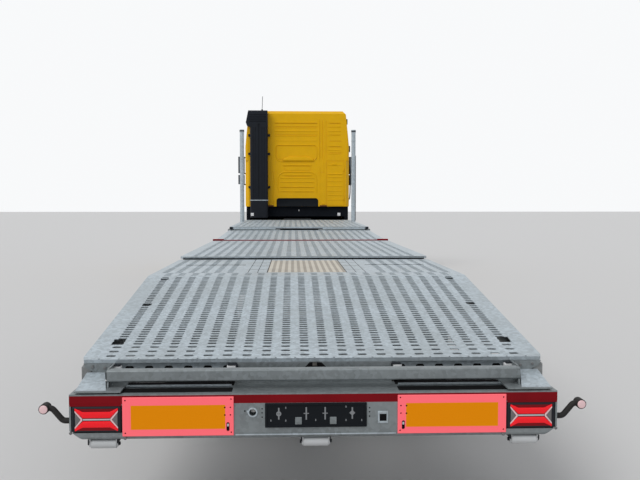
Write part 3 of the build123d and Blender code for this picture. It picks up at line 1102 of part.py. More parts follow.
# Cab floor with the rear bulkhead, the skirts over the wheels and the arms to the tilt bearings
FLOOR_HALF = CAB_HALF - DOOR_T
SKIRT_T = 45.0
ARM_IN_X = 450.0
ARM_OUT_X = 495.0
floor_low = CAB_FLOOR_Z - CAB_WALL
with BuildPart() as cab_floor:
    block((-FLOOR_HALF, FLOOR_HALF), (cab_back_y + 70, face_y - CAB_WALL), (floor_low, CAB_FLOOR_Z))
    block((-FLOOR_HALF, FLOOR_HALF), (cab_back_y + 70, cab_back_y + 70 + CAB_WALL), (floor_low, CAB_BACK_LOW_Z))
    for side, _ in SIDES:
        skirt = [(cab_back_y + 70, CAB_BACK_LOW_Z), (cab_back_y + 70, floor_low - 60)]
        skirt += [(cab_back_y + 240, ARCH_TOP_Z + 12), (PILLAR_Y, ARCH_TOP_Z + 12), (PILLAR_Y, CAB_BACK_LOW_Z)]
        side_plate(skirt, *mirrored(side, FLOOR_HALF - SKIRT_T, FLOOR_HALF + 40))
        arm_span = mirrored(side, ARM_IN_X, ARM_OUT_X)
        arm = [(pivot_y - 52, PIVOT_Z - 20), (pivot_y + 30, PIVOT_Z + 38), (pivot_y - 140, PIVOT_Z + 215)]
        arm += [(pivot_y - 200, floor_low), (pivot_y - 520, floor_low), (pivot_y - 330, PIVOT_Z + 215)]
        side_plate(arm, *arm_span)
        rod((arm_span[0], pivot_y, PIVOT_Z), (arm_span[1], pivot_y, PIVOT_Z), 2 * PIVOT_R)
        rod((arm_span[0], pivot_y, PIVOT_Z), (arm_span[1], pivot_y, PIVOT_Z), PIVOT_R + SHAFT_GAP,
            mode=Mode.SUBTRACT)
cab_floor.part.label = "cab_floor"
export_step(cab_floor.part, "parts/cab_floor.step")

# Grille with slats, and the sun visor over the windscreen
GRILLE_HALF = 700.0
GRILLE_LOW_Z = 1060.0
GRILLE_HIGH_Z = 1780.0
GRILLE_T = 26.0
SLAT_COUNT = 6
with BuildPart() as grille:
    block((-GRILLE_HALF, GRILLE_HALF), (face_y, face_y + GRILLE_T), (GRILLE_LOW_Z, GRILLE_HIGH_Z))
    fillet(grille.edges().filter_by(Axis.Y), radius=60)
    slat_pitch = (GRILLE_HIGH_Z - GRILLE_LOW_Z - 80) / SLAT_COUNT
    for n in range(SLAT_COUNT):
        slot_z = GRILLE_LOW_Z + 50 + n * slat_pitch
        block((-GRILLE_HALF + 60, GRILLE_HALF - 60), (face_y + 8, face_y + GRILLE_T),
              (slot_z, slot_z + slat_pitch - 34), mode=Mode.SUBTRACT)
grille.part.label = "grille"
export_step(grille.part, "parts/grille.step")

with BuildPart() as sun_visor:
    visor_low = SCREEN_TOP_Z + 20
    visor_y = screen_top_y - 60 * 20 / (3240 - SCREEN_TOP_Z)
    visor = [(visor_y - 60 * 60 / (3240 - SCREEN_TOP_Z), visor_low + 60), (visor_y, visor_low), (visor_y + 150, visor_low - 60)]
    visor += [(visor_y + 158, visor_low - 48), (visor_y + 30, visor_low + 20)]
    side_plate(visor, -CAB_HALF + 110, CAB_HALF - 110)
sun_visor.part.label = "sun_visor"
export_step(sun_visor.part, "parts/sun_visor.step")

# Air intake stack on the back wall, left: body, head with louvres, clamps
STACK_LOW_X = -1115.0
STACK_HIGH_X = -698.0
STACK_HEAD_LOW_X = -1212.0
STACK_HEAD_TOP_X = -1154.0
STACK_DEPTH = 205.0
STACK_LOW_Z = 1330.0
STACK_JOINT_Z = 1748.0
STACK_HEAD_Z = 3480.0
STACK_TOP_Z = 3855.0
STACK_ROUND = 50.0
STACK_LUGS_Z = (3280.0, 2842.0, 2053.0)
STACK_LUG_HALF = 28.0
STACK_LUG_OUT = 50.0
GROOVE_HALF = 22.0
GROOVE_DEPTH = 16.0
STACK_RIBS_X = (-130.0, -75.0, 75.0, 130.0)
STACK_RIB_HALF = 9.0
STACK_RIB_DEPTH = 8.0
ROD_AERIAL_X = -830.0
ROD_AERIAL_LEAN = 12.0
ROD_AERIAL_R = 6.0
ROD_AERIAL_TOP_Z = 4190.0
ROD_AERIAL_FOOT_R = 20.0
ROD_AERIAL_FOOT_H = 30.0
with BuildPart() as air_intake:
    stack_mid_y = cab_back_y - STACK_DEPTH / 2
    with BuildSketch(Plane.XY.offset(STACK_LOW_Z)) as body:
        with Locations(((STACK_LOW_X + STACK_HIGH_X) / 2, stack_mid_y)):
            RectangleRounded(STACK_HIGH_X - STACK_LOW_X, STACK_DEPTH, STACK_ROUND)
    extrude(body.sketch, amount=STACK_HEAD_Z - STACK_LOW_Z + 20)
    head = [(STACK_HIGH_X, STACK_HEAD_Z - 10), (STACK_HIGH_X - 6, STACK_TOP_Z), (STACK_HEAD_TOP_X, STACK_TOP_Z)]
    head += [(STACK_HEAD_LOW_X, STACK_HEAD_Z + 90), (STACK_HEAD_LOW_X + 25, STACK_HEAD_Z + 20)]
    head += [(STACK_LOW_X, STACK_HEAD_Z - 10)]
    rear_plate(head, cab_back_y - STACK_DEPTH, cab_back_y)
    fillet(air_intake.edges().filter_by(Axis.X).group_by(Axis.Z)[-1].sort_by(Axis.Y)[0], radius=40)
    groove_x = (STACK_LOW_X + STACK_HIGH_X) / 2
    stack_face_y = cab_back_y - STACK_DEPTH
    block((groove_x - GROOVE_HALF, groove_x + GROOVE_HALF), (stack_face_y, stack_face_y + GROOVE_DEPTH),
          (STACK_JOINT_Z + 60, STACK_HEAD_Z + 60), mode=Mode.SUBTRACT)
    for rib_x in STACK_RIBS_X:
        block((groove_x + rib_x - STACK_RIB_HALF, groove_x + rib_x + STACK_RIB_HALF),
              (stack_face_y, stack_face_y + STACK_RIB_DEPTH), (STACK_JOINT_Z + 40, STACK_HEAD_Z - 20),
              mode=Mode.SUBTRACT)
    block((STACK_LOW_X, STACK_HIGH_X), (stack_face_y, stack_face_y + STACK_RIB_DEPTH),
          (STACK_JOINT_Z - STACK_RIB_HALF, STACK_JOINT_Z + STACK_RIB_HALF), mode=Mode.SUBTRACT)
    for lug_z in STACK_LUGS_Z:
        block((STACK_LOW_X - STACK_LUG_OUT, STACK_HIGH_X + STACK_LUG_OUT), (cab_back_y - 60, cab_back_y - 20),
              (lug_z - STACK_LUG_HALF, lug_z + STACK_LUG_HALF))
air_intake.part.label = "air_intake"
export_step(air_intake.part, "parts/air_intake.step")

# Rod aerial that stands on the intake's head
with BuildPart() as rod_aerial:
    aerial_foot = Vector(ROD_AERIAL_X, stack_mid_y, STACK_TOP_Z)
    aerial_top = Vector(ROD_AERIAL_X, stack_mid_y, ROD_AERIAL_TOP_Z)
    rod(aerial_foot, aerial_foot + Vector(0, 0, ROD_AERIAL_FOOT_H), ROD_AERIAL_FOOT_R)
    rod(aerial_foot + Vector(0, 0, ROD_AERIAL_FOOT_H / 2), aerial_top + Vector(ROD_AERIAL_LEAN, 0, 0), ROD_AERIAL_R)
rod_aerial.part.label = "rod_aerial"
export_step(rod_aerial.part, "parts/rod_aerial.step")

# Inside the cab: dashboard with the steering wheel, two seats, and the bunk
DRIVER_X = -600.0
WHEEL_Y = nose_y - 690.0
WHEEL_Z = 1860.0
WHEEL_R = 225.0
SEAT_W = 500.0
with BuildPart() as dashboard:
    dash_y = face_y - CAB_WALL - RUNNING_GAP
    board = [(dash_y, 1500), (dash_y, 1895), (dash_y - 200, 1888), (dash_y - 390, 1770), (dash_y - 400, 1640)]
    board += [(dash_y - 240, 1500)]
    side_plate(board, -FLOOR_HALF + 30, FLOOR_HALF - 30)
    column = Vector(0, 0.6, -0.8)
    hub = Vector(DRIVER_X, WHEEL_Y, WHEEL_Z)
    with Locations(Plane(origin=hub, x_dir=(0, 0.8, 0.6), z_dir=column * -1)):
        Torus(WHEEL_R, 17)
    foot = hub + column * ((WHEEL_Z - CAB_FLOOR_Z - 42) / 0.8)
    rod(tuple(hub + column * 20), tuple(foot), 42)
    rod(tuple(hub - column * 20), tuple(hub + column * 40), 72)
    for spoke in (Vector(1, 0, 0), Vector(-1, 0, 0), Vector(0, -0.8, -0.6)):
        rod(tuple(hub), tuple(hub + spoke * WHEEL_R), 12)
dashboard.part.label = "dashboard"
export_step(dashboard.part, "parts/dashboard.step")

seat_y = nose_y - 1230.0
seat_profile = [
    (seat_y + 60, CAB_FLOOR_Z), (seat_y + 420, CAB_FLOOR_Z), (seat_y + 420, 1560), (seat_y + 520, 1590),
    (seat_y + 520, 1700), (seat_y + 130, 1690), (seat_y + 60, 2330), (seat_y + 40, 2520), (seat_y - 40, 2520),
    (seat_y - 60, 2330), (seat_y - 20, 1560), (seat_y + 60, 1540),
]
BUNK_TOP_Z = 1830.0
with BuildPart() as seats_and_bunk:
    for side, _ in SIDES:
        side_plate(seat_profile, side * -DRIVER_X - SEAT_W / 2, side * -DRIVER_X + SEAT_W / 2)
    block((-FLOOR_HALF + SKIRT_T, FLOOR_HALF - SKIRT_T), (cab_back_y + 70 + CAB_WALL, cab_back_y + 780),
          (CAB_FLOOR_Z, CAB_BACK_LOW_Z + 70))
    block((-FLOOR_HALF + 30, FLOOR_HALF - 30), (cab_back_y + CAB_WALL + 10, cab_back_y + 800),
          (CAB_BACK_LOW_Z + 70, BUNK_TOP_Z))
seats_and_bunk.part.label = "seats_and_bunk"
export_step(seats_and_bunk.part, "parts/seats_and_bunk.step")

# Doors, hinged at the front edge, each with its window cut and a mirror on two arms
MIRROR_IN_X = 1375.0
MIRROR_OUT_X = 1540.0
MIRROR_Y = DOOR_FRONT_Y - 170.0
MIRROR_D = 100.0
for side, name in SIDES:
    with BuildPart() as door:
        span = mirrored(side, CAB_HALF - DOOR_T, CAB_HALF)
        with BuildSketch(Plane.YZ.offset(span[0])) as panel:
            with BuildLine():
                Polyline(*door_outline, close=True)
            make_face()
            offset(amount=-DOOR_GAP, kind=Kind.INTERSECTION)
            with BuildLine():
                Polyline(*window_outline, close=True)
            make_face(mode=Mode.SUBTRACT)
        extrude(panel.sketch, amount=DOOR_T)
        for level in HINGE_LEVELS:
            block(mirrored(side, CAB_HALF - 2, CAB_HALF + LEAF_T), (HINGE_Y - 62, HINGE_Y - 16),
                  (level - 15, level + 15))
            block(mirrored(side, CAB_HALF + 5, CAB_HALF + LEAF_T), (HINGE_Y - 18, HINGE_Y), (level - 15, level + 15))
            rod((side * HINGE_X, HINGE_Y, level - 15), (side * HINGE_X, HINGE_Y, level + 15), HINGE_R)
            rod((side * HINGE_X, HINGE_Y, level - 15), (side * HINGE_X, HINGE_Y, level + 15),
                HINGE_PIN_R + SHAFT_GAP, mode=Mode.SUBTRACT)
    door.part.label = f"door_{name}"
    export_step(door.part, f"parts/door_{name}.step")

    with BuildPart() as mirror:
        for low_z, high_z in ((2170, 2410), (2460, 2890)):
            block(mirrored(side, MIRROR_IN_X, MIRROR_OUT_X), (MIRROR_Y, MIRROR_Y + MIRROR_D), (low_z, high_z))
        fillet(mirror.edges().filter_by(Axis.Z), radius=24)
        for arm_z in (2145, 2435, 2850):
            block(mirrored(side, CAB_HALF, MIRROR_IN_X + 60), (MIRROR_Y + 34, MIRROR_Y + 66), (arm_z, arm_z + 30))
        block(mirrored(side, MIRROR_IN_X + 30, MIRROR_IN_X + 60), (MIRROR_Y + 34, MIRROR_Y + 66), (2145, 2880))
    mirror.part.label = f"mirror_{name}"
    export_step(mirror.part, f"parts/mirror_{name}.step")

# Wheels: tyres as many-sided rings that stand on one flat, rims as revolved sections
TYRE_SIDES = 32
TYRE_SHOULDER = 30.0
TYRE_GAP = 0.4
TRACTOR_BEAD_INSET = 22.0
TRAILER_BEAD_INSET = 18.0
RIM_METAL = 30.0
DISC_HALF = 13.0
HUB_WALL = 52.0
CAP_T = 30.0
HUB_BACK = 190.0
HAND_HOLES = 8
HAND_HOLE_R = 27.0


def tyre_face(x, y, z, radius):
    """Many-sided outline of a tyre in the plane at x, one flat side at the bottom."""
    with BuildSketch(Plane.YZ.offset(x)) as outline:
        with Locations((y, z)):
            RegularPolygon(radius, TYRE_SIDES, major_radius=False, rotation=180 / TYRE_SIDES)
    return outline.sketch


def tyre(middle_x, y, radius, width, rim_r):
    """Add one tyre round middle_x: tread band, two shoulders, and the bore for the rim."""
    low_x = middle_x - width / 2
    high_x = middle_x + width / 2
    extrude(tyre_face(low_x + TYRE_SHOULDER, y, radius, radius), amount=width - 2 * TYRE_SHOULDER)
    for edge_x, inner_x in ((low_x, low_x + TYRE_SHOULDER), (high_x, high_x - TYRE_SHOULDER)):
        edge = tyre_face(edge_x, y, radius, radius - TYRE_SHOULDER)
        loft(sections=[edge, tyre_face(inner_x, y, radius, radius)], ruled=True)
    extrude(tyre_face(low_x, y, radius, rim_r + TYRE_GAP), amount=width, mode=Mode.SUBTRACT)


def turn_rim(points, y, z, middle_x, side):
    """Revolve (outward distance, radius) points about the wheel's own axle."""
    with BuildSketch(Plane.XZ.offset(-y)) as section:
        with BuildLine():
            Polyline(*[(middle_x + side * along, z + radius) for along, radius in points], close=True)
        make_face()
    revolve(section.sketch, axis=Axis((0, y, z), (1, 0, 0)))


def hand_holes(middle_x, y, z, ring_r, half_depth):
    """Cut the ring of hand holes through the wheel disc."""
    with BuildSketch(Plane.YZ.offset(middle_x - half_depth)) as holes:
        with Locations((y, z)):
            with PolarLocations(ring_r, HAND_HOLES):
                Circle(HAND_HOLE_R)
    extrude(holes.sketch, amount=2 * half_depth, mode=Mode.SUBTRACT)


def front_rim_points(bore, rim_r, half, cap):
    """Section of a single rim whose disc stands near the outer face."""
    well = rim_r - RIM_METAL
    return [
        (-60, bore), (cap, bore), (cap, 0), (cap + CAP_T, 0), (cap + CAP_T - 8, bore + 10),
        (half - 10, bore + 28), (half - 16, well - 95), (half - 30, well - 26), (half - 42, well),
        (half - 6, well), (half, rim_r), (-half, rim_r), (6 - half, well), (half - 62, well),
        (half - 46, well - 34), (half - 32, well - 100), (half - 70, bore + HUB_WALL), (-60, bore + HUB_WALL),
    ]


def twin_rim_points(bore, rim_r, offset_x, half, cap):
    """Section of two rims back to back with one disc between them, and the hub."""
    well = rim_r - RIM_METAL
    near = offset_x - half
    far = offset_x + half
    hub_r = bore + HUB_WALL
    outer = [
        (DISC_HALF, hub_r + 6), (DISC_HALF, well - 34), (near + 6, well), (far - 6, well), (far, rim_r),
        (near, rim_r), (near - 4, rim_r - 12),
    ]
    hub = [(-HUB_BACK, bore), (cap, bore), (cap, 0), (cap + CAP_T, 0), (cap + CAP_T - 8, hub_r - 6)]
    return hub + outer + [(-along, radius) for along, radius in reversed(outer)] + [(-HUB_BACK, hub_r - 6)]


twin_wheels = (
    ("drive", rear_axle_y, TRACTOR_TYRE_R, TRACTOR_TYRE_W, TRACTOR_RIM_R, REAR_TWIN_X, REAR_TWIN_GAP,
     TRACTOR_BEAD_INSET, TRACTOR_STUB_R, REAR_STUB_END),
    ("trailer_rear", trailer_axles_y[0], TRAILER_TYRE_R, TRAILER_TYRE_W, TRAILER_RIM_R, TRAILER_TWIN_X,
     TRAILER_TWIN_GAP, TRAILER_BEAD_INSET, TRAILER_STUB_R, TRAILER_STUB_END),
    ("trailer_front", trailer_axles_y[1], TRAILER_TYRE_R, TRAILER_TYRE_W, TRAILER_RIM_R, TRAILER_TWIN_X,
     TRAILER_TWIN_GAP, TRAILER_BEAD_INSET, TRAILER_STUB_R, TRAILER_STUB_END),
)
for side, name in SIDES:
    with BuildPart() as front_tyre:
        tyre(side * FRONT_TRACK_X, front_axle_y, TRACTOR_TYRE_R, TRACTOR_TYRE_W, TRACTOR_RIM_R)
    front_tyre.part.label = f"tyre_front_{name}"
    export_step(front_tyre.part, f"parts/tyre_front_{name}.step")

    with BuildPart() as front_rim:
        half = TRACTOR_TYRE_W / 2 - TRACTOR_BEAD_INSET
        section = front_rim_points(TRACTOR_STUB_R + SHAFT_GAP, TRACTOR_RIM_R, half,
                                   STUB_END_X - FRONT_TRACK_X + 5)
        turn_rim(section, front_axle_y, TRACTOR_TYRE_R, side * FRONT_TRACK_X, side)
        hand_holes(side * (FRONT_TRACK_X + half - 30), front_axle_y, TRACTOR_TYRE_R,
                   TRACTOR_RIM_R - RIM_METAL - 62, 40)
    front_rim.part.label = f"rim_front_{name}"
    export_step(front_rim.part, f"parts/rim_front_{name}.step")

    for axle, axle_y, radius, width, rim_r, twin_x, twin_gap, inset, stub_r, stub_end in twin_wheels:
        offset_x = (width + twin_gap) / 2
        with BuildPart() as twin_tyres:
            for lean in (-1, 1):
                tyre(side * twin_x + lean * offset_x, axle_y, radius, width, rim_r)
        twin_tyres.part.label = f"tyres_{axle}_{name}"
        export_step(twin_tyres.part, f"parts/tyres_{axle}_{name}.step")

        with BuildPart() as twin_rim:
            section = twin_rim_points(stub_r + SHAFT_GAP, rim_r, offset_x, width / 2 - inset,
                                      stub_end - twin_x + 5)
            turn_rim(section, axle_y, radius, side * twin_x, side)
            ring_r = (rim_r - RIM_METAL + stub_r + HUB_WALL) / 2
            hand_holes(side * twin_x, axle_y, radius, ring_r, DISC_HALF + 5)
        twin_rim.part.label = f"rims_{axle}_{name}"
        export_step(twin_rim.part, f"parts/rims_{axle}_{name}.step")
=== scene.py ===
"""Dress the vehicle transporter lorry: loading decks, rear lamps, cab panels, tyres and finishes.

Metres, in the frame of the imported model: +Y is forward, +X is right and the ground is z = 0.
"""

from __future__ import annotations

import json
import logging
import math
from contextlib import contextmanager
from dataclasses import dataclass
from enum import Enum
from typing import Callable, Iterable, Iterator, Sequence

import bpy
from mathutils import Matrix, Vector

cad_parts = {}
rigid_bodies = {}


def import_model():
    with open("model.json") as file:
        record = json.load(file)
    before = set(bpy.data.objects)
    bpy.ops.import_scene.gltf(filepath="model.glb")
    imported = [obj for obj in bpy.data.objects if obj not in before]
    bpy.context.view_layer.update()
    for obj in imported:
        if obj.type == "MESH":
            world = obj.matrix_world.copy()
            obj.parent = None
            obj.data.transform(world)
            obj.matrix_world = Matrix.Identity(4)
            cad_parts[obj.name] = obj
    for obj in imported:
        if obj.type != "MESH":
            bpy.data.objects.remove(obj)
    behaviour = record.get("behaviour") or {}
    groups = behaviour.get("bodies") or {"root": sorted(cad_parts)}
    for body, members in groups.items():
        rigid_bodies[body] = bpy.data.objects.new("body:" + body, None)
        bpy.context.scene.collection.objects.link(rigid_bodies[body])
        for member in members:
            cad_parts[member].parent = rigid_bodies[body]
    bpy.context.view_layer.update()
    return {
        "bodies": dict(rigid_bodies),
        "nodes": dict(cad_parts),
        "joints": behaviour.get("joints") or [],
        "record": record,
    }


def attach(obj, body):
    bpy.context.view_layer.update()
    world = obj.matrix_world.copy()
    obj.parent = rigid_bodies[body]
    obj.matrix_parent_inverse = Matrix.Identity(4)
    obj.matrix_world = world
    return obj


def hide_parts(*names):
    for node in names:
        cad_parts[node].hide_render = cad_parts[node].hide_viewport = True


LOG = logging.getLogger("lorry")
Pair = tuple[float, float]
Triple = tuple[float, float, float]
Pairs = tuple[Pair, ...]
Piece, Tree, Node, Socket = bpy.types.Object, bpy.types.NodeTree, bpy.types.Node, bpy.types.NodeSocket
Test = Callable[[Vector, Vector], bool]
SIGNS = (-1, 1)
SIDES: tuple[tuple[int, str], ...] = ((-1, "left"), (1, "right"))

# Stations and heights of the trailer, as its solids have them
TAIL_Y, CREST_Y, RAISED_Y, STRIP_Y, FRONT_Y, STEP_Y = -8.005, -6.130, -4.470, -1.350, -1.260, 1.140
NECK_END_Y = 5.310
TAIL_Z, CREST_Z, RAISED_Z = 0.859, 1.124, 1.152
FRONT_LOW_Z, FRONT_HIGH_Z = 1.150, 1.208
NECK_REAR_Z, NECK_FRONT_Z = 1.268, 1.288
HALF_DECK = 1.245
SEAM = 0.006
BEAM_FACE_Y = -8.242
CAB_BACK_Y, CAB_HALF, NOSE_Y = 6.010, 1.240, 8.250
POST_Y = 4.250

# The bends, in degrees, that are rounded by a bevel and that stay sharp in smooth shading
BEVEL_ANGLE, SMOOTH, SMOOTH_WIDE = 35.0, 32.0, 60.0


# Modelling by operators


class Pick(Enum):
    """What an edit-mode selection works on."""

    FACES = "FACE"
    EDGES = "EDGE"
    POINTS = "VERT"


def leave_edit() -> None:
    """Go back to object mode."""
    bpy.ops.object.mode_set(mode="OBJECT")


def clear_selection() -> None:
    """Leave edit mode and deselect every object."""
    if bpy.context.object and bpy.context.object.mode != "OBJECT":
        leave_edit()
    bpy.ops.object.select_all(action="DESELECT")


def make_active(piece: Piece) -> None:
    """Select one object alone and make it the active one.

    Args:
        piece: the object to work on.
    """
    clear_selection()
    piece.select_set(True)
    bpy.context.view_layer.objects.active = piece


@contextmanager
def editing(piece: Piece) -> Iterator[None]:
    """Work on the whole of a mesh in edit mode.

    Args:
        piece: the object to edit.

    Yields:
        Nothing; edit mode ends with the block.
    """
    make_active(piece)
    bpy.ops.object.mode_set(mode="EDIT")
    bpy.ops.mesh.select_all(action="SELECT")
    yield
    leave_edit()


def apply_place(piece: Piece) -> Piece:
    """Move an object's place, turn and size into its mesh.

    Args:
        piece: the object to bake.

    Returns:
        The same object, at the origin.
    """
    make_active(piece)
    bpy.ops.object.transform_apply(location=True, rotation=True, scale=True)
    return piece


def modify(piece: Piece, kind: str, **values: object) -> Piece:
    """Add a modifier, set its values and apply it.

    Args:
        piece: the object.
        kind: the modifier's type.
        values: its settings by name.

    Returns:
        The same object.
    """
    make_active(piece)
    modifier = piece.modifiers.new(kind.lower(), kind)
    for key, value in values.items():
        setattr(modifier, key, value)
    bpy.ops.object.modifier_apply(modifier=modifier.name)
    return piece


def soften(piece: Piece, width: float, segments: int = 2) -> Piece:
    """Round a piece's edges.

    Args:
        piece: the object.
        width: the rounding's width, or 0 for none.
        segments: how many steps it has.

    Returns:
        The same object.
    """
    if not width:
        return piece
    return modify(piece, "BEVEL", width=width, segments=segments, limit_method="ANGLE",
                  angle_limit=math.radians(BEVEL_ANGLE))


def block(low: Triple, high: Triple, bevel: float = 0.0, steps: int = 2) -> Piece:
    """Add a box between two corners that lie across from each other.

    Args:
        low: one corner.
        high: the other corner.
        bevel: the width of its rounded edges.
        steps: how many steps the rounding has.

    Returns:
        The box.
    """
    clear_selection()
    middle = [(a + b) / 2 for a, b in zip(low, high)]
    size = [abs(b - a) for a, b in zip(low, high)]
    bpy.ops.mesh.primitive_cube_add(size=1, location=middle, scale=size)
    return soften(apply_place(bpy.context.object), bevel, steps)


def tile(middle: Pair, half: Pair, span: Pair, bevel: float = 0.0, steps: int = 2) -> Piece:
    """Add a box by its middle and its half sizes, across and up, and its span along the lorry.

    Args:
        middle: its middle across the lorry and its middle height.
        half: half its width and half its height.
        span: where it starts and ends along the lorry.
        bevel: the width of its rounded edges.
        steps: how many steps the rounding has.

    Returns:
        The box.
    """
    (x, z), (wide, high) = middle, half
    return block((x - wide, span[0], z - high), (x + wide, span[1], z + high), bevel, steps)


def both(low: Triple, high: Triple, bevel: float = 0.0, steps: int = 2) -> list[Piece]:
    """Add a box on the right and its mirror image on the left.

    Args:
        low: one corner of the right one.
        high: its other corner.
        bevel: the width of the rounded edges.
        steps: how many steps the rounding has.

    Returns:
        The two boxes.
    """
    return [block((sign * low[0], *low[1:]), (sign * high[0], *high[1:]), bevel, steps) for sign in SIGNS]


def drum(start: Sequence[float], end: Sequence[float], radius: float, sides: int = 24,
         tip: float | None = None, bevel: float = 0.0, steps: int = 2) -> Piece:
    """Add a cylinder or a cone between two points.

    Args:
        start: the middle of its first end.
        end: the middle of its other end.
        radius: its radius at the start.
        sides: how many flats go round it.
        tip: its radius at the end, the same as at the start if left out.
        bevel: the width of its rounded edges.
        steps: how many steps the rounding has.

    Returns:
        The solid.
    """
    clear_selection()
    first, last = Vector(start), Vector(end)
    turn = (last - first).to_track_quat("Z", "Y").to_euler()
    bpy.ops.mesh.primitive_cone_add(vertices=sides, radius1=radius, radius2=radius if tip is None else tip,
                                    depth=(last - first).length, location=(first + last) / 2, rotation=turn)
    return soften(apply_place(bpy.context.object), bevel, steps)


def prism(outline: Sequence[Pair], low: float, high: float, axis: str = "Y", bevel: float = 0.0,
          steps: int = 2) -> Piece:
    """Add a straight-sided solid: a round of edges shaped point by point, filled and extruded.

    Args:
        outline: its corners, in the plane square to the axis, in order.
        low: where it starts along the axis.
        high: where it ends.
        axis: the axis that it is extruded along.
        bevel: the width of its rounded edges.
        steps: how many steps the rounding has.

    Returns:
        The solid, with its faces outwards.
    """
    clear_selection()
    bpy.ops.mesh.primitive_circle_add(vertices=len(outline), radius=1, fill_type="NGON")
    piece = bpy.context.object
    place = {"X": lambda a, b, c: (c, a, b), "Y": lambda a, b, c: (a, c, b),
             "Z": lambda a, b, c: (a, b, c)}[axis]
    for point, (a, b) in zip(piece.data.vertices, outline):
        point.co = place(a, b, low)
    with editing(piece):
        bpy.ops.mesh.extrude_region_move(TRANSFORM_OT_translate={"value": place(0, 0, high - low)})
        bpy.ops.mesh.select_all(action="SELECT")
        bpy.ops.mesh.normals_make_consistent(inside=False)
    return soften(piece, bevel, steps)


def select(piece: Piece, test: Test, kind: Pick = Pick.FACES) -> None:
    """Select faces, edges or points of a piece by their place and direction, and enter edit mode.

    Args:
        piece: the object.
        test: takes a place and a direction, and says whether that element is wanted.
        kind: what to select.
    """
    make_active(piece)
    bpy.ops.object.mode_set(mode="EDIT")
    bpy.ops.mesh.select_mode(type=kind.value)
    bpy.ops.mesh.select_all(action="DESELECT")
    leave_edit()
    mesh = piece.data
    if kind is Pick.FACES:
        items: Iterable = ((face, face.center, face.normal) for face in mesh.polygons)
    elif kind is Pick.POINTS:
        items = ((point, point.co, point.normal) for point in mesh.vertices)
    else:
        ends = ((edge, *(mesh.vertices[index].co for index in edge.vertices)) for edge in mesh.edges)
        items = ((edge, (first + last) / 2, first - last) for edge, first, last in ends)
    for item, place, direction in items:
        item.select = test(place, direction)
    bpy.ops.object.mode_set(mode="EDIT")


def inset(piece: Piece, test: Test, *rounds: Pair, individual: bool = False) -> Piece:
    """Inset chosen faces, one round after another.

    Args:
        piece: the object.
        test: takes a face's place and normal, and says whether it is wanted.
        rounds: thickness and depth of each round.
        individual: whether each face is inset by itself.

    Returns:
        The same object.
    """
    select(piece, test)
    for thickness, depth in rounds:
        bpy.ops.mesh.inset(thickness=thickness, depth=depth, use_individual=individual)
    leave_edit()
    return piece


def faces_rear(_: Vector, normal: Vector) -> bool:
    """Say whether a face looks to the rear."""
    return normal.y < -0.99


def repeat(piece: Piece, count: int, step: Triple, merge: bool = False) -> Piece:
    """Copy a mesh along a line.

    Args:
        piece: the object.
        count: how many there are in the end.
        step: the way from one to the next.
        merge: whether neighbours share their edge.

    Returns:
        The same object.
    """
    return modify(piece, "ARRAY", count=count, use_relative_offset=False, use_constant_offset=True,
                  constant_offset_displace=step, use_merge_vertices=merge, merge_threshold=1e-5)


def remove(*pieces: Piece) -> None:
    """Delete objects."""
    for piece in pieces:
        bpy.data.objects.remove(piece, do_unlink=True)


def cut(piece: Piece, cutters: Sequence[Piece], solver: str = "EXACT") -> Piece:
    """Cut solids out of a piece and delete them.

    Args:
        piece: the object that is cut.
        cutters: the solids that go.
        solver: how the cut is worked out.

    Returns:
        The same object.
    """
    for cutter in cutters:
        modify(piece, "BOOLEAN", operation="DIFFERENCE", solver=solver, object=cutter)
        remove(cutter)
    return piece


def join(name: str, pieces: Sequence[Piece]) -> Piece:
    """Join meshes into one piece.

    Args:
        name: the new piece's name.
        pieces: the meshes; the first one is kept.

    Returns:
        The joined object.
    """
    make_active(pieces[0])
    for piece in pieces:
        piece.select_set(True)
    if len(pieces) > 1:
        bpy.ops.object.join()
    pieces[0].name = name
    pieces[0].data.name = name
    return pieces[0]


def copy_to(piece: Piece, step: Triple) -> Piece:
    """Copy a piece with its own mesh and move the copy.

    Args:
        piece: the object to copy.
        step: the way from the one to the other.

    Returns:
        The copy, with its place in its mesh.
    """
    make_active(piece)
    bpy.ops.object.duplicate(linked=False)
    bpy.ops.transform.translate(value=step)
    return apply_place(bpy.context.object)


def smooth(piece: Piece, angle: float) -> Piece:
    """Shade a piece smooth except over sharp edges.

    Args:
        piece: the object.
        angle: the bend, in degrees, that stays sharp.

    Returns:
        The same object.
    """
    make_active(piece)
    bpy.ops.object.shade_smooth_by_angle(angle=math.radians(angle))
    return piece


# Finishes


def feed(tree: Tree, slot: Socket, value: object) -> None:
    """Link a socket to a node's input, or set the input's value.

    Args:
        tree: the node tree.
        slot: the input.
        value: the socket or the value.
    """
    if isinstance(value, Socket):
        tree.links.new(value, slot)
    else:
        slot.default_value = value


def wire(tree: Tree, node: Node, **values: object) -> Node:
    """Set or link a node's inputs.

    Args:
        tree: the node tree.
        node: the node.
        values: a value or a socket for each input, by name with underscores for spaces.

    Returns:
        The same node.
    """
    for key, value in values.items():
        feed(tree, node.inputs[key.replace("_", " ")], value)
    return node


def add_node(tree: Tree, kind: str, **values: object) -> Node:
    """Add a shader node and set or link its inputs.

    Args:
        tree: the node tree.
        kind: the node's type, without its usual start.
        values: a value or a socket for each input, as wire takes them.

    Returns:
        The node.
    """
    return wire(tree, tree.nodes.new(f"ShaderNode{kind}"), **values)


def maths(tree: Tree, operation: str, first: object, second: object) -> Socket:
    """Add a maths node.

    Args:
        tree: the node tree.
        operation: its operation.
        first: its first socket or number.
        second: its second socket or number.

    Returns:
        Its result.
    """
    node = tree.nodes.new("ShaderNodeMath")
    node.operation = operation
    for slot, value in zip(node.inputs, (first, second)):
        feed(tree, slot, value)
    return node.outputs[0]


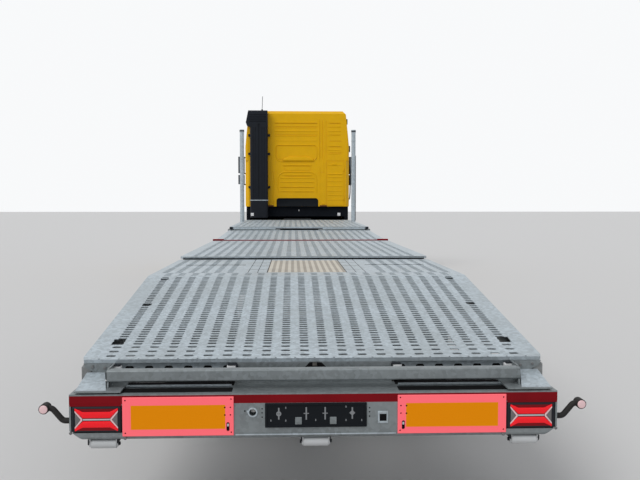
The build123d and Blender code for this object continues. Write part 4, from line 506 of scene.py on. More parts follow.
def mix(tree: Tree, factor: Socket, first: object, second: object) -> Socket:
    """Mix two colours.

    Args:
        tree: the node tree.
        factor: the share of the second colour.
        first: the colour at 0, a socket or a colour.
        second: the colour at 1, a socket or a colour.

    Returns:
        The mixed colour.
    """
    node = tree.nodes.new("ShaderNodeMix")
    node.data_type = "RGBA"
    for index, value in ((0, factor), (6, first), (7, second)):
        feed(tree, node.inputs[index], value if isinstance(value, Socket) else (*value, 1.0))
    return node.outputs[2]


def shade(colour: Triple, share: float) -> Triple:
    """Make a colour darker or lighter."""
    return tuple(min(1.0, channel * share) for channel in colour)


def new_group(name: str, inputs: dict[str, float], outputs: Sequence[str]) -> tuple:
    """Start a shader node group that works from the object's own coordinates.

    Args:
        name: the group's name.
        inputs: name and default of each input.
        outputs: name of each output.

    Returns:
        The group, its input node, its output node and the coordinates.
    """
    group = bpy.data.node_groups.new(name, "ShaderNodeTree")
    for label, default in inputs.items():
        socket = group.interface.new_socket(name=label, in_out="INPUT", socket_type="NodeSocketFloat")
        socket.default_value = default
    for label in outputs:
        group.interface.new_socket(name=label, in_out="OUTPUT", socket_type="NodeSocketFloat")
    place = add_node(group, "TexCoord").outputs["Object"]
    return group, group.nodes.new("NodeGroupInput"), group.nodes.new("NodeGroupOutput"), place


def spangle_group() -> Tree:
    """Zinc crystals: a shade for each crystal, cloudy stains, and a little height.

    Returns:
        The node group.
    """
    tree, source, result, place = new_group("zinc_spangle", {"Scale": 60.0, "Stain Scale": 3.0},
                                            ("Shade", "Stain", "Height"))
    crystal = add_node(tree, "TexVoronoi", Vector=place, Scale=source.outputs["Scale"])
    grey = add_node(tree, "SeparateColor", Color=crystal.outputs["Color"])
    stain = add_node(tree, "TexNoise", Vector=place, Scale=source.outputs["Stain Scale"], Detail=5.0,
                     Roughness=0.62)
    wire(tree, result, Shade=grey.outputs[0], Stain=stain.outputs["Fac"],
         Height=maths(tree, "MULTIPLY", grey.outputs[1], 0.5))
    return tree


def grime_group() -> Tree:
    """Road dirt: patches that grow towards the ground.

    Returns:
        The node group.
    """
    tree, source, result, place = new_group("road_grime", {"Scale": 2.5, "Top": 1.2, "Amount": 0.4},
                                            ("Mask",))
    patch = add_node(tree, "TexNoise", Vector=place, Scale=source.outputs["Scale"], Detail=6.0,
                     Roughness=0.65)
    split = add_node(tree, "SeparateXYZ", Vector=place)
    height = maths(tree, "DIVIDE", split.outputs[2], source.outputs["Top"])
    low = maths(tree, "MAXIMUM", maths(tree, "SUBTRACT", 1.15, height), 0.15)
    strength = maths(tree, "MULTIPLY", low, patch.outputs["Fac"])
    strength = maths(tree, "MULTIPLY", strength, source.outputs["Amount"])
    wire(tree, result, Mask=maths(tree, "MINIMUM", strength, 1.0))
    return tree


def grain_group() -> Tree:
    """Fine grain for plastic, rubber and paint.

    Returns:
        The node group.
    """
    tree, source, result, place = new_group("fine_grain", {"Scale": 400.0}, ("Height", "Cloud"))
    fine = add_node(tree, "TexNoise", Vector=place, Scale=source.outputs["Scale"], Detail=3.0)
    cloud = add_node(tree, "TexNoise", Vector=place, Scale=5.0, Detail=3.0)
    wire(tree, result, Height=fine.outputs["Fac"], Cloud=cloud.outputs["Fac"])
    return tree


GROUPS: dict[str, Tree] = {}
MATERIALS: dict[str, bpy.types.Material] = {}


def group_node(tree: Tree, name: str, **values: float) -> Node:
    """Place a shared node group in a material.

    Args:
        tree: the material's tree.
        name: the group's name.
        values: its inputs by name, with underscores for spaces.

    Returns:
        The node.
    """
    if not GROUPS:
        GROUPS.update(zinc_spangle=spangle_group(), road_grime=grime_group(), fine_grain=grain_group())
    node = tree.nodes.new("ShaderNodeGroup")
    node.node_tree = GROUPS[name]
    return wire(tree, node, **values)


@dataclass(frozen=True)
class Finish:
    """A surface: its colour, gloss, grain and dirt."""

    name: str
    slot: str
    colour: Triple
    roughness: float = 0.5
    metallic: float = 0.0
    coat: float = 0.0
    specular: float = 0.5
    grain: float = 400.0
    bump: float = 0.1
    bump_depth: float = 0.0004
    cloud: float = 0.12
    dirt: float = 0.3
    dirt_top: float = 1.3
    dirt_colour: Triple = (0.16, 0.14, 0.115)
    dirt_scale: float = 2.6
    dirt_roughness: float = 0.9
    coat_roughness: float = 0.08

    def raise_grain(self, tree: Tree, shader: Node, height: Socket) -> None:
        """Give the surface the bump of a height."""
        bump = add_node(tree, "Bump", Strength=self.bump, Distance=self.bump_depth, Height=height)
        wire(tree, shader, Normal=bump.outputs["Normal"])

    def base(self, tree: Tree, shader: Node) -> Socket:
        """Colour with its cloudy variation, and the grain's bump.

        Args:
            tree: the material's tree.
            shader: its shader node.

        Returns:
            The colour before the dirt.
        """
        grain = group_node(tree, "fine_grain", Scale=self.grain)
        self.raise_grain(tree, shader, grain.outputs["Height"])
        return mix(tree, grain.outputs["Cloud"], shade(self.colour, 1 - 2 * self.cloud),
                   shade(self.colour, 1 + self.cloud))

    def surface(self, tree: Tree, shader: Node) -> None:
        """Wire the colour and the roughness, both under the dirt.

        Args:
            tree: the material's tree.
            shader: its shader node.
        """
        colour = self.base(tree, shader)
        grime = group_node(tree, "road_grime", Scale=self.dirt_scale, Top=self.dirt_top, Amount=self.dirt)
        mask = grime.outputs["Mask"]
        rough = maths(tree, "MULTIPLY", mask, self.dirt_roughness - self.roughness)
        wire(tree, shader, Base_Color=mix(tree, mask, colour, self.dirt_colour),
             Roughness=maths(tree, "ADD", rough, self.roughness))

    def material(self) -> bpy.types.Material:
        """Build the material once.

        Returns:
            The finished material.
        """
        if self.name not in MATERIALS:
            material = bpy.data.materials.new(self.name)
            material.use_nodes = True
            material.diffuse_color = (*self.colour, 1.0)
            shader = material.node_tree.nodes["Principled BSDF"]
            wire(material.node_tree, shader, Metallic=self.metallic, Coat_Weight=self.coat,
                 Coat_Roughness=self.coat_roughness, Specular_IOR_Level=self.specular)
            self.surface(material.node_tree, shader)
            MATERIALS[self.name] = material
        return MATERIALS[self.name]


@dataclass(frozen=True)
class Zinc(Finish):
    """Hot-dip galvanised steel with its spangle and pale stains."""

    spangle: float = 55.0
    stain: Triple = (0.36, 0.385, 0.395)
    stain_scale: float = 2.2
    stain_share: float = 0.55
    stain_span: Pair = (0.42, 0.68)
    crystal_shades: Pair = (0.8, 1.14)

    def base(self, tree: Tree, shader: Node) -> Socket:
        """Crystals over cloudy stains.

        Args:
            tree: the material's tree.
            shader: its shader node.

        Returns:
            The colour before the dirt.
        """
        zinc = group_node(tree, "zinc_spangle", Scale=self.spangle, Stain_Scale=self.stain_scale)
        self.raise_grain(tree, shader, zinc.outputs["Height"])
        dark, light = (shade(self.colour, share) for share in self.crystal_shades)
        crystal = mix(tree, zinc.outputs["Shade"], dark, light)
        patch = add_node(tree, "ValToRGB", Fac=zinc.outputs["Stain"])
        for stop, place, level in zip(patch.color_ramp.elements, self.stain_span, (0.0, 1.0)):
            stop.position = place
            stop.color = (level, level, level, 1.0)
        share = maths(tree, "MULTIPLY", patch.outputs["Color"], self.stain_share)
        return mix(tree, share, crystal, self.stain)


@dataclass(frozen=True)
class Lens(Finish):
    """Coloured or clear lamp plastic with fine prisms."""

    bump_depth: float = 0.001
    prism: float = 160.0
    prism_turn: float = 6.283
    groove_painted_shade: float = 0.72
    glow: float = 0.0

    def base(self, tree: Tree, shader: Node) -> Socket:
        """Prism ribs in the bump, and painted shade in their grooves in the colour.

        Args:
            tree: the material's tree.
            shader: its shader node.

        Returns:
            The colour before the dirt.
        """
        place = add_node(tree, "TexCoord").outputs["Object"]
        wave = add_node(tree, "TexWave", Vector=place, Scale=self.prism / self.prism_turn)
        wave.bands_direction = "Z"
        self.raise_grain(tree, shader, wave.outputs["Fac"])
        # Emission: the glow of a lit lamp, and on the marker boards painted light
        if self.glow:
            wire(tree, shader, Emission_Color=(*self.colour, 1.0), Emission_Strength=self.glow)
        # The colour darkens in the prisms' grooves: painted shade
        return mix(tree, wave.outputs["Fac"], shade(self.colour, self.groove_painted_shade), self.colour)


@dataclass(frozen=True)
class Glass(Finish):
    """Tinted window glass."""

    clearness: float = 0.9
    refraction: float = 1.45

    def surface(self, tree: Tree, shader: Node) -> None:
        """Wire clear glass, with no dirt.

        Args:
            tree: the material's tree.
            shader: its shader node.
        """
        wire(tree, shader, Transmission_Weight=self.clearness, IOR=self.refraction,
             Base_Color=self.base(tree, shader), Roughness=self.roughness)


GALVANISED = Zinc("galvanised_steel", "galvanised", (0.43, 0.49, 0.53), 0.48, 0.35, bump=0.12, dirt=0.18,
                  stain=(0.33, 0.37, 0.385))
# Darker copy of the deck zinc for the rear-facing beam, the cross tube and the panel clips: painted shade
GALVANISED_BEAM_SHADED = Zinc("galvanised_beam_shaded", "galvanised", (0.19, 0.215, 0.225), 0.46, 0.4, bump=0.12, dirt=0.3,
                       stain=(0.27, 0.30, 0.31))
# Darker copy of the deck zinc for the frame, the landing legs and the pieces under the decks: painted shade,
# with heavy road dirt on top
GALVANISED_SHADED = Zinc("galvanised_frame_shaded", "galvanised", (0.25, 0.265, 0.27), 0.55, 0.4, dirt=0.75)
CAB_YELLOW = Finish("cab_yellow", "yellow_paint", (0.79, 0.43, 0.002), 0.4, coat=0.05, specular=0.12,
                    grain=900, bump=0.02, cloud=0.05, dirt=0.08, dirt_top=2.2)
DARK_RED = Finish("dark_red_paint", "dark_red_paint", (0.21, 0.003, 0.008), 0.5, specular=0.06, grain=700,
                  bump=0.04, cloud=0.16, dirt=0.06)
# The boards' glow is painted light standing in for the light that their reflecting sheeting sends back
BORDER_PINK = Lens("board_border", "marker_board", (1.0, 0.15, 0.18), 0.5, specular=0.2, prism=1400,
                   bump=0.02, dirt=0.02, dirt_top=0.7, glow=0.24)
BOARD_ORANGE = Lens("board_centre", "marker_board", (0.90, 0.29, 0.001), 0.5, specular=0.06, prism=1400,
                    bump=0.05, dirt=0.02, dirt_top=0.7, glow=0.04)
LAMP_RED = Lens("lamp_red_lens", "lamp_red", (0.78, 0.004, 0.012), 0.2, coat=0.15, specular=0.25, prism=900,
                bump=0.15, dirt=0.03, glow=0.3)
LAMP_DARK_RED = Lens("lamp_deep_red", "lamp_red", (0.22, 0.002, 0.006), 0.35, specular=0.15, prism=900,
                     bump=0.15, dirt=0.03)
LAMP_PRISM = Lens("lamp_prisms", "lamp_clear", (0.15, 0.14, 0.14), 0.2, coat=0.4, prism=900, bump=0.4,
                  dirt=0.03)
LAMP_CLEAR = Lens("lamp_clear_lens", "lamp_clear", (0.62, 0.64, 0.66), 0.14, coat=0.6, prism=700, bump=0.3,
                  dirt=0.03)
LAMP_EDGE = Finish("lamp_bar_edge", "lamp_clear", (0.80, 0.55, 0.56), 0.3, coat=0.3, grain=700, bump=0.03,
                   cloud=0.04, dirt=0.03)
LAMP_AMBER = Lens("lamp_amber_lens", "lamp_clear", (0.85, 0.26, 0.01), 0.14, coat=0.6, prism=700, bump=0.3,
                  dirt=0.05)
BLACK_PLASTIC = Finish("black_plastic", "black_plastic", (0.007, 0.010, 0.016), 0.55, specular=0.18,
                       grain=500, bump=0.15, cloud=0.2, dirt=0.12)
# Near-black under the cab: the floor's black underbody paint deepened into painted shade, also used for the
# sheet at the cab's front that paints the shade under the cab
UNDER_CAB_SHADE = Finish("under_cab_black_shade", "chassis_grey", (0.006, 0.008, 0.012), 0.75, specular=0.08, grain=300,
                     bump=0.2, cloud=0.25, dirt=0.05)
DARK_TRIM = Finish("dark_trim", "dark_plastic", (0.055, 0.056, 0.06), 0.6, grain=450, bump=0.2, cloud=0.1,
                   dirt=0.05)
PANEL_BLACK = Finish("panel_black", "black_plastic", (0.006, 0.008, 0.011), 0.6, specular=0.10, grain=600,
                     bump=0.1, cloud=0.15, dirt=0.04)
# Near-black for dark seams and marks, and for painted shade in holes, slots, gaps and under edges
SEAM_AND_SHADE_DARK = Finish("seam_and_shade_dark", "black_plastic", (0.006, 0.006, 0.007), 0.9, specular=0.05, grain=600,
                   bump=0.05, cloud=0.1, dirt=0.05)
MOUNT_BROWN = Finish("mount_rubber", "black_rubber", (0.13, 0.045, 0.012), 0.7, specular=0.2, grain=300,
                     bump=0.2, cloud=0.25, dirt=0.3)
BLACK_RUBBER = Finish("black_rubber", "black_rubber", (0.013, 0.013, 0.014), 0.68, specular=0.2, grain=300,
                      bump=0.2, cloud=0.2, dirt=0.2)
TYRE_RUBBER = Finish("tyre_rubber", "tyre_rubber", (0.020, 0.020, 0.021), 0.75, specular=0.25, grain=180,
                     bump=0.3, cloud=0.2, dirt=0.55, dirt_top=0.9)
ROLLER_GREY = Finish("roller_plastic", "roller_white", (0.55, 0.57, 0.58), 0.45, grain=500, bump=0.05,
                     cloud=0.08, dirt=0.35)
MARK_GREY = Finish("panel_marks", "black_plastic", (0.21, 0.22, 0.23), 0.6, grain=500, bump=0.05, cloud=0.1,
                   dirt=0.1)
BUFFER_WHITE = Finish("buffer_white", "roller_white", (0.72, 0.73, 0.74), 0.5, grain=500, bump=0.05,
                      cloud=0.06, dirt=0.15)
# Lit and shaded copies of the insert's beige: the plate darker between the ridges and the ridges pale on top,
# painted light and shade
BEIGE = Finish("beige_plate", "beige_plate", (0.36, 0.325, 0.275), 0.6, metallic=0.15, grain=240, bump=0.15,
               cloud=0.16, dirt=0.2)
BEIGE_RIDGES_LIT = Finish("beige_ridges_lit", "beige_plate", (0.57, 0.53, 0.455), 0.55, metallic=0.1, grain=240,
                    bump=0.1, cloud=0.1, dirt=0.1)
ALUMINIUM = Finish("aluminium", "aluminium", (0.60, 0.61, 0.63), 0.33, 0.85, grain=700, bump=0.04, cloud=0.06,
                   dirt=0.3)
CHASSIS = Finish("chassis_paint", "chassis_grey", (0.05, 0.052, 0.056), 0.5, coat=0.1, grain=400, bump=0.1,
                 cloud=0.15, dirt=0.5)
ENGINE_IRON = Finish("engine_iron", "engine_iron", (0.12, 0.125, 0.13), 0.6, 0.5, grain=160, bump=0.3,
                     cloud=0.15, dirt=0.45)
COUPLING_STEEL = Finish("coupling_steel", "black_steel", (0.035, 0.033, 0.03), 0.35, 0.6, grain=300, bump=0.1,
                        cloud=0.25, dirt=0.3)
WHEEL_SILVER = Finish("wheel_silver", "wheel_grey", (0.48, 0.49, 0.50), 0.38, 0.6, grain=500, bump=0.05,
                      cloud=0.1, dirt=0.5, dirt_top=1.1)
SEAT_CLOTH = Finish("seat_cloth", "seat_fabric", (0.075, 0.078, 0.085), 0.9, grain=900, bump=0.5,
                    bump_depth=0.001, cloud=0.1, dirt=0.0)
SCREEN_GLASS = Glass("screen_glass", "window_glass", (0.35, 0.42, 0.42), 0.02, grain=5, bump=0.0, cloud=0.02)
MIRROR_GLASS = Finish("mirror_glass", "black_plastic", (0.10, 0.11, 0.12), 0.05, 1.0, grain=5, bump=0.0,
                      cloud=0.02, dirt=0.03)
BOLT_STEEL = Finish("bolt_steel", "galvanised", (0.20, 0.205, 0.21), 0.4, 0.8, grain=300, bump=0.1, dirt=0.3)

# The finish of each node, by the start of its name; the first that fits counts
NODE_FINISHES: tuple[tuple[Finish, tuple[str, ...]], ...] = (
    (TYRE_RUBBER, ("tyre",)),
    (WHEEL_SILVER, ("rim",)),
    (GALVANISED, ("neck_deck", "posts", "tail_deck", "flat_deck", "raised_deck", "front_deck")),
    # The rear beam and the cross tube take the shaded zinc copy: painted shade
    (GALVANISED_BEAM_SHADED, ("rear_beam", "cross_tube")),
    # The frame and the landing legs take the shaded zinc copy: painted shade under the decks
    (GALVANISED_SHADED, ("trailer_frame", "landing_legs")),
    (BEIGE, ("deck_insert",)),
    (DARK_RED, ("red_strips",)),
    (BORDER_PINK, ("marker_boards",)),
    (BLACK_RUBBER, ("lamp_arms",)),
    (ROLLER_GREY, ("rollers",)),
    (ALUMINIUM, ("side_guards", "side_tanks")),
    (CHASSIS, ("trailer_axles", "tractor_frame", "rear_axle", "front_axle", "knuckle")),
    (ENGINE_IRON, ("engine_block",)),
    (COUPLING_STEEL, ("fifth_wheel",)),
    (CAB_YELLOW, ("bumper", "cab_shell", "door")),
    (LAMP_CLEAR, ("headlamps",)),
    (SCREEN_GLASS, ("windscreen",)),
    # The cab floor in the under-cab near-black: its black underbody paint deepened into painted shade
    (UNDER_CAB_SHADE, ("cab_floor",)),
    (DARK_TRIM, ("dashboard",)),
    (SEAT_CLOTH, ("seats_and_bunk",)),
    (BLACK_PLASTIC, ("tail_lamps", "plate_holder", "trailer_mudguards", "steps_and_mudguards", "grille",
                     "sun_visor", "air_intake", "rod_aerial", "mirror")),
)


def dress(piece: Piece, finish: Finish, body: str, *replaced: str) -> None:
    """Give a new piece its finish and its body, and report it.

    Args:
        piece: the finished object.
        finish: its surface.
        body: the body that carries it.
        replaced: the nodes that it stands for.
    """
    apply_place(piece)
    piece.data.materials.clear()
    piece.data.materials.append(finish.material())
    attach(piece, body)
    if replaced:
        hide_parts(*replaced)
    LOG.info("%s: %d faces on %s", piece.name, len(piece.data.polygons), body)


def fit(name: str, parts: Sequence[Piece], finish: Finish, body: str = "trailer", *replaced: str,
        angle: float = 0.0) -> None:
    """Join parts into one piece, shade it and dress it.

    Args:
        name: the piece's name.
        parts: its meshes.
        finish: its surface.
        body: the body that carries it.
        replaced: the nodes that it stands for.
        angle: the bend, in degrees, that stays sharp when it is shaded smooth, or 0 for flat faces.
    """
    piece = join(name, parts)
    dress(smooth(piece, angle) if angle else piece, finish, body, *replaced)


# The trailer's decks


@dataclass
class DeckSheet:
    """A loading plate of slotted fields and plain strips, folded down at its edges and laid on its slope."""

    name: str
    node: str
    rear: Pair
    front: Pair
    half_width: float = HALF_DECK
    skirt: float = 0.040
    columns: int = 22
    pitch_x: float = 0.105
    pitch_y: float = 0.044
    slot_half: float = 0.0285
    slot_depth: float = 0.0135
    slot_round: float = 1.24
    wide_rows: int = 0
    wide_pitch: float = 0.072
    margin: float = 0.021
    sheet: float = 0.005
    wall: float = 0.006
    corner: Pair = (0.0, 0.0)
    cutouts: tuple[tuple[float, float, float, float], ...] = ()
    rib_pitch: float = 0.45
    nibs: bool = True

    def length(self) -> float:
        """Length along the slope."""
        return math.hypot(self.front[0] - self.rear[0], self.front[1] - self.rear[1])

    def strip(self, x0: float, x1: float, y0: float, y1: float) -> Piece:
        """Add a plain flat strip of sheet.

        Args:
            x0: one side of it, across the lorry.
            x1: its other side.
            y0: where it starts, along the sheet.
            y1: where it ends.

        Returns:
            The strip.
        """
        clear_selection()
        bpy.ops.mesh.primitive_plane_add(size=1, location=((x0 + x1) / 2, (y0 + y1) / 2, 0))
        bpy.context.object.scale = (abs(x1 - x0), y1 - y0, 1)
        return apply_place(bpy.context.object)

    def cell(self, pitch_y: float) -> Piece:
        """Model one cell: a square with a slot cut by bridging two rounds of edges.

        Args:
            pitch_y: the cell's length along the lorry.

        Returns:
            The flat cell, centred on the origin.
        """
        cell = self.strip(-self.pitch_x / 2, self.pitch_x / 2, -pitch_y / 2, pitch_y / 2)
        with editing(cell):
            bpy.ops.mesh.subdivide(number_cuts=1)
        select(cell, lambda place, _: place.length < 1e-6, Pick.POINTS)
        bpy.ops.mesh.delete(type="VERT")
        bpy.ops.mesh.primitive_circle_add(vertices=8, radius=1, fill_type="NOTHING")
        bpy.ops.transform.resize(value=(self.slot_half, self.slot_depth * self.slot_round, 1))
        leave_edit()
        for sign in SIGNS:
            select(cell, lambda place, _: 1e-4 < sign * place.y < 0.45 * pitch_y
                   and abs(place.x) < 0.9 * self.slot_half, Pick.POINTS)
            bpy.ops.transform.resize(value=(1, 0, 1), center_override=(0, sign * self.slot_depth, 0))
        bpy.ops.mesh.select_all(action="SELECT")
        bpy.ops.mesh.bridge_edge_loops()
        bpy.ops.mesh.normals_make_consistent(inside=False)
        leave_edit()
        if cell.data.polygons[0].normal.z < 0:
            with editing(cell):
                bpy.ops.mesh.flip_normals()
        return cell

    def field(self, rows: int, pitch_y: float, start: float, middle: float = 0.0,
              columns: int | None = None) -> Piece:
        """Repeat the cell into a field of slots.

        Args:
            rows: how many rows it has.
            pitch_y: the distance between rows.
            start: where the first row's cell starts, along the sheet.
            middle: the middle of the field across the lorry.
            columns: how many columns it has, the sheet's own number if left out.

        Returns:
            The flat field.
        """
        count = columns or self.columns
        field = self.cell(pitch_y)
        repeat(field, count, (self.pitch_x, 0, 0), merge=True)
        repeat(field, rows, (0, pitch_y, 0), merge=True)
        field.location = (middle - (count - 1) / 2 * self.pitch_x, start + pitch_y / 2, 0)
        return apply_place(field)

    def regions(self) -> list[Piece]:
        """Slotted fields over the whole sheet, with plain strips round them.

        Returns:
            The flat parts of the sheet.
        """
        long, wide = self.length(), self.half_width
        half_field = self.columns * self.pitch_x / 2
        parts = []
        y = self.margin
        if self.wide_rows:
            parts.append(self.field(self.wide_rows, self.wide_pitch, y))
            y += self.wide_rows * self.wide_pitch
        rows = int((long - self.margin - y) / self.pitch_y)
        parts.append(self.field(rows, self.pitch_y, y))
        y += rows * self.pitch_y
        parts += [self.strip(-wide, wide, 0, self.margin), self.strip(-wide, wide, y, long)]
        return parts + [self.strip(sign * half_field, sign * wide, self.margin, y) for sign in SIGNS]

    def flat_sheet(self) -> Piece:
        """Join the regions, give them their thickness and cut the corners and openings.

        Returns:
            The sheet, its rear edge at y = 0.
        """
        sheet = join(self.name, self.regions())
        modify(sheet, "SOLIDIFY", thickness=self.sheet, offset=-1)
        cutters = [tile((sign * x, 0), (wide / 2, 0.1), (at - deep / 2, at + deep / 2))
                   for x, at, wide, deep in self.cutouts for sign in SIGNS]
        cut_x, cut_y = self.corner
        if cut_x:
            edge, out = self.half_width, self.half_width + 0.1
            corner = ((edge - cut_x, -0.1), (edge - cut_x, 0), (edge, cut_y), (out, cut_y), (out, -0.1))
            cutters += [prism([(sign * x, y) for x, y in corner], -0.1, 0.1, "Z") for sign in SIGNS]
        return cut(sheet, cutters, "FAST")

    def edges(self) -> list[Piece]:
        """Turned-down edges round the sheet, following its cut corners, and ribs beneath it.

        Returns:
            The folded strips.
        """
        long, wall, wide = self.length(), self.wall, self.half_width
        cut_x, cut_y = self.corner
        low, top = -self.skirt, -0.0005
        strips = both((wide, cut_y, low), (wide - wall, long, top))
        if cut_x:
            start = wide - cut_x
            slant = ((start, 0), (wide, cut_y), (wide - wall, cut_y + wall), (start - wall, wall))
            strips += [prism([(sign * x, y) for x, y in slant], low, top, "Z") for sign in SIGNS]
        strips.append(block((-wide + cut_x, 0, low), (wide - cut_x, wall, top)))
        strips.append(block((-wide, long - wall, low), (wide, long, top)))
        ribs = int(long / self.rib_pitch)
        places = [index * long / ribs for index in range(1, ribs)]
        return strips + [block((-wide + 0.01, y - 0.003, low), (wide - 0.01, y + 0.003, -self.sheet))
                         for y in places]

    def nib_field(self) -> Piece:
        """Raised nibs for grip, on both sides of each bare strip between the slots.

        Returns:
            The nibs, flat over the sheet.
        """
        offset = self.pitch_x / 2 - 0.009
        pair = join(f"{self.name}_nibs", [drum((x, y, -0.0005), (x, y, 0.0022), 0.0042, 5, 0.0022)
                                          for x, y in ((offset, 0), (-offset, self.pitch_y))])
        repeat(pair, self.columns, (self.pitch_x, 0, 0))
        first = self.margin + self.wide_rows * self.wide_pitch
        rows = int((self.length() - self.margin - first) / (2 * self.pitch_y))
        repeat(pair, rows, (0, 2 * self.pitch_y, 0))
        pair.location = (-(self.columns - 1) / 2 * self.pitch_x, first + self.pitch_y / 2, 0)
        return apply_place(pair)

    def lay(self, piece: Piece) -> Piece:
        """Turn a flat piece to the plate's slope and carry it to its place."""
        piece.rotation_euler = (math.atan2(self.front[1] - self.rear[1], self.front[0] - self.rear[0]), 0, 0)
        piece.location = (0, *self.rear)
        return apply_place(piece)

    def build(self) -> None:
        """Model the plate, lay it on the frame and dress it."""
        sheet = join(self.name, [self.flat_sheet()] + self.edges())
        dress(self.lay(sheet), GALVANISED, "trailer", self.node)
        if self.nibs:
            dress(self.lay(self.nib_field()), GALVANISED, "trailer")


@dataclass
class FlatDeck(DeckSheet):
    """The level plate behind the tail: slots near the crest and down both sides, and plain tread plates."""

    nibs: bool = False
    slotted_run: float = 0.23
    side_columns: int = 6
    side_middle: float = 0.8925
    insert_half: float = 0.325
    insert_start: float = 0.26
    insert_long: float = 1.25
    seams: tuple[float, ...] = (0.327, 0.405, 0.483)
    cross_slots: tuple[float, ...] = (-5.155, -5.125)
    cross_seams: tuple[float, ...] = (-5.60, -5.245, -4.89)

    def regions(self) -> list[Piece]:
        """Slots over the first run and beside the tread plates; the tread plates are plain.

        Returns:
            The flat parts of the sheet.
        """
        long, wide, hole = self.length(), self.half_width, self.insert_half
        first_rows = int(self.slotted_run / self.pitch_y)
        y = first_rows * self.pitch_y
        rows = int((long - y) / self.pitch_y)
        end = y + rows * self.pitch_y
        reach = self.side_columns * self.pitch_x / 2
        parts = [self.field(first_rows, self.pitch_y, 0.0), self.strip(-wide, wide, end, long),
                 self.strip(-hole, hole, y, self.insert_start),
                 self.strip(-hole, hole, self.insert_start + self.insert_long, end)]
        for sign in SIGNS:
            parts += [self.field(rows, self.pitch_y, y, sign * self.side_middle, self.side_columns),
                      self.strip(sign * hole, sign * (self.side_middle - reach), y, end),
                      self.strip(sign * self.columns * self.pitch_x / 2, sign * wide, 0, y),
                      self.strip(sign * (self.side_middle + reach), sign * wide, y, end)]
        return parts

    def tread(self) -> None:
        """Lay the seams of the tread plates, the cross slots and the ribbed insert."""
        start, top = self.rear[0] + self.slotted_run, self.rear[1]
        runs = [((x - 0.002, start), (x + 0.002, self.front[0]), 0.0006) for x in self.seams]
        # The cross slots are dark blocks painted as the shade inside them; the seams are dark joints
        runs += [((0.545, y - 0.003), (1.09, y + 0.003), 0.0008) for y in self.cross_slots]
        runs += [((0.330, y - 0.002), (0.483, y + 0.002), 0.0006) for y in self.cross_seams]
        fit("tread_plate_seams_and_slot_shade", [block((sign * x0, y0, top - 0.001), (sign * x1, y1, top + rise))
                                  for (x0, y0), (x1, y1), rise in runs for sign in SIGNS], SEAM_AND_SHADE_DARK)
        half, low_y = self.insert_half, self.rear[0] + self.insert_start
        high_y = low_y + self.insert_long
        plate = block((-half + 0.001, low_y + 0.001, top - 0.007),
                      (half - 0.001, high_y - 0.001, top - 0.001))
        fit("deck_insert_plate", [plate], BEIGE, "trailer", "deck_insert")
        # The ridges in the lit beige copy: painted light on their tops
        ridge = block((-half + 0.006, low_y + 0.006, top - 0.002),
                      (-half + 0.034, high_y - 0.006, top + 0.0018), 0.0015, 1)
        fit("deck_insert_ridges", [repeat(ridge, 12, (0.0535, 0, 0))], BEIGE_RIDGES_LIT)

    def build(self) -> None:
        """Model the plate and its tread plates."""
        super().build()
        self.tread()


def deck_trim() -> None:
    """Body of the raised plate, a dark strip painted as the shadow in the gap under its edge, marks along the
    tail's end, and channels under the tail that darken its slots as painted shade.
    """
    inner_y, edge = RAISED_Y + 0.045, HALF_DECK - 0.045
    body = block((-edge, inner_y, CREST_Z - 0.04), (edge, STRIP_Y - SEAM, RAISED_Z - 0.023), 0.004, 1)
    fit("raised_plate_body", [body], GALVANISED_SHADED)
    edge = HALF_DECK - 0.032
    # A dark strip painted as the shadow in the gap under the raised plate's edge
    gap = block((-edge, RAISED_Y - 0.0015, CREST_Z + 0.0005), (edge, RAISED_Y + 0.010, CREST_Z + 0.0145))
    fit("raised_plate_gap_shadow", [gap], SEAM_AND_SHADE_DARK)
    x, y = -1.155, TAIL_Y + 0.010
    mark = drum((x, y, TAIL_Z - 0.004), (x, y, TAIL_Z + 0.0018), 0.0055, 8)
    fit("deck_end_marks", [repeat(mark, 23, (0.105, 0, 0))], SEAM_AND_SHADE_DARK)
    # Channels under the tail's outer slots, put there so that the slots look dark: painted shade
    flanges = both((0.850, 0.250, -0.068), (1.205, 1.780, -0.062))
    channel = join("channels", flanges + both((0.850, 0.250, -0.066), (0.856, 1.780, -0.006)))
    channel.rotation_euler = (math.atan2(CREST_Z - TAIL_Z, CREST_Y - TAIL_Y), 0, 0)
    channel.location = (0, TAIL_Y, TAIL_Z)
    fit("tail_shade_channels", [apply_place(channel)], GALVANISED_SHADED)


def build_decks() -> None:
    """Build the loading plates from the tail to the neck."""
    for deck in (
            DeckSheet("tail_plate", "tail_deck", (TAIL_Y, TAIL_Z), (CREST_Y, CREST_Z), wide_rows=3,
                      skirt=0.020, corner=(0.012, 0.04),
                      cutouts=((1.114, 0.292, 0.068, 0.096), (1.099, 1.075, 0.060, 0.048),
                               (1.099, 1.790, 0.060, 0.044))),
            FlatDeck("flat_plate", "flat_deck", (CREST_Y, CREST_Z), (RAISED_Y - SEAM, CREST_Z)),
            DeckSheet("raised_plate", "raised_deck", (RAISED_Y, RAISED_Z), (STRIP_Y - SEAM, RAISED_Z),
                      skirt=0.022, corner=(0.030, 0.048), margin=0.04),
            DeckSheet("front_plate", "front_deck", (FRONT_Y, FRONT_LOW_Z), (STEP_Y - SEAM, FRONT_HIGH_Z),
                      1.225),
            DeckSheet("neck_plate", "neck_deck", (STEP_Y, NECK_REAR_Z), (NECK_END_Y, NECK_FRONT_Z), 1.215,
                      margin=0.05, cutouts=((1.185, POST_Y - STEP_Y, 0.076, 0.236),), rib_pitch=0.9)):
        deck.build()
    deck_trim()


# The trailer's rear end


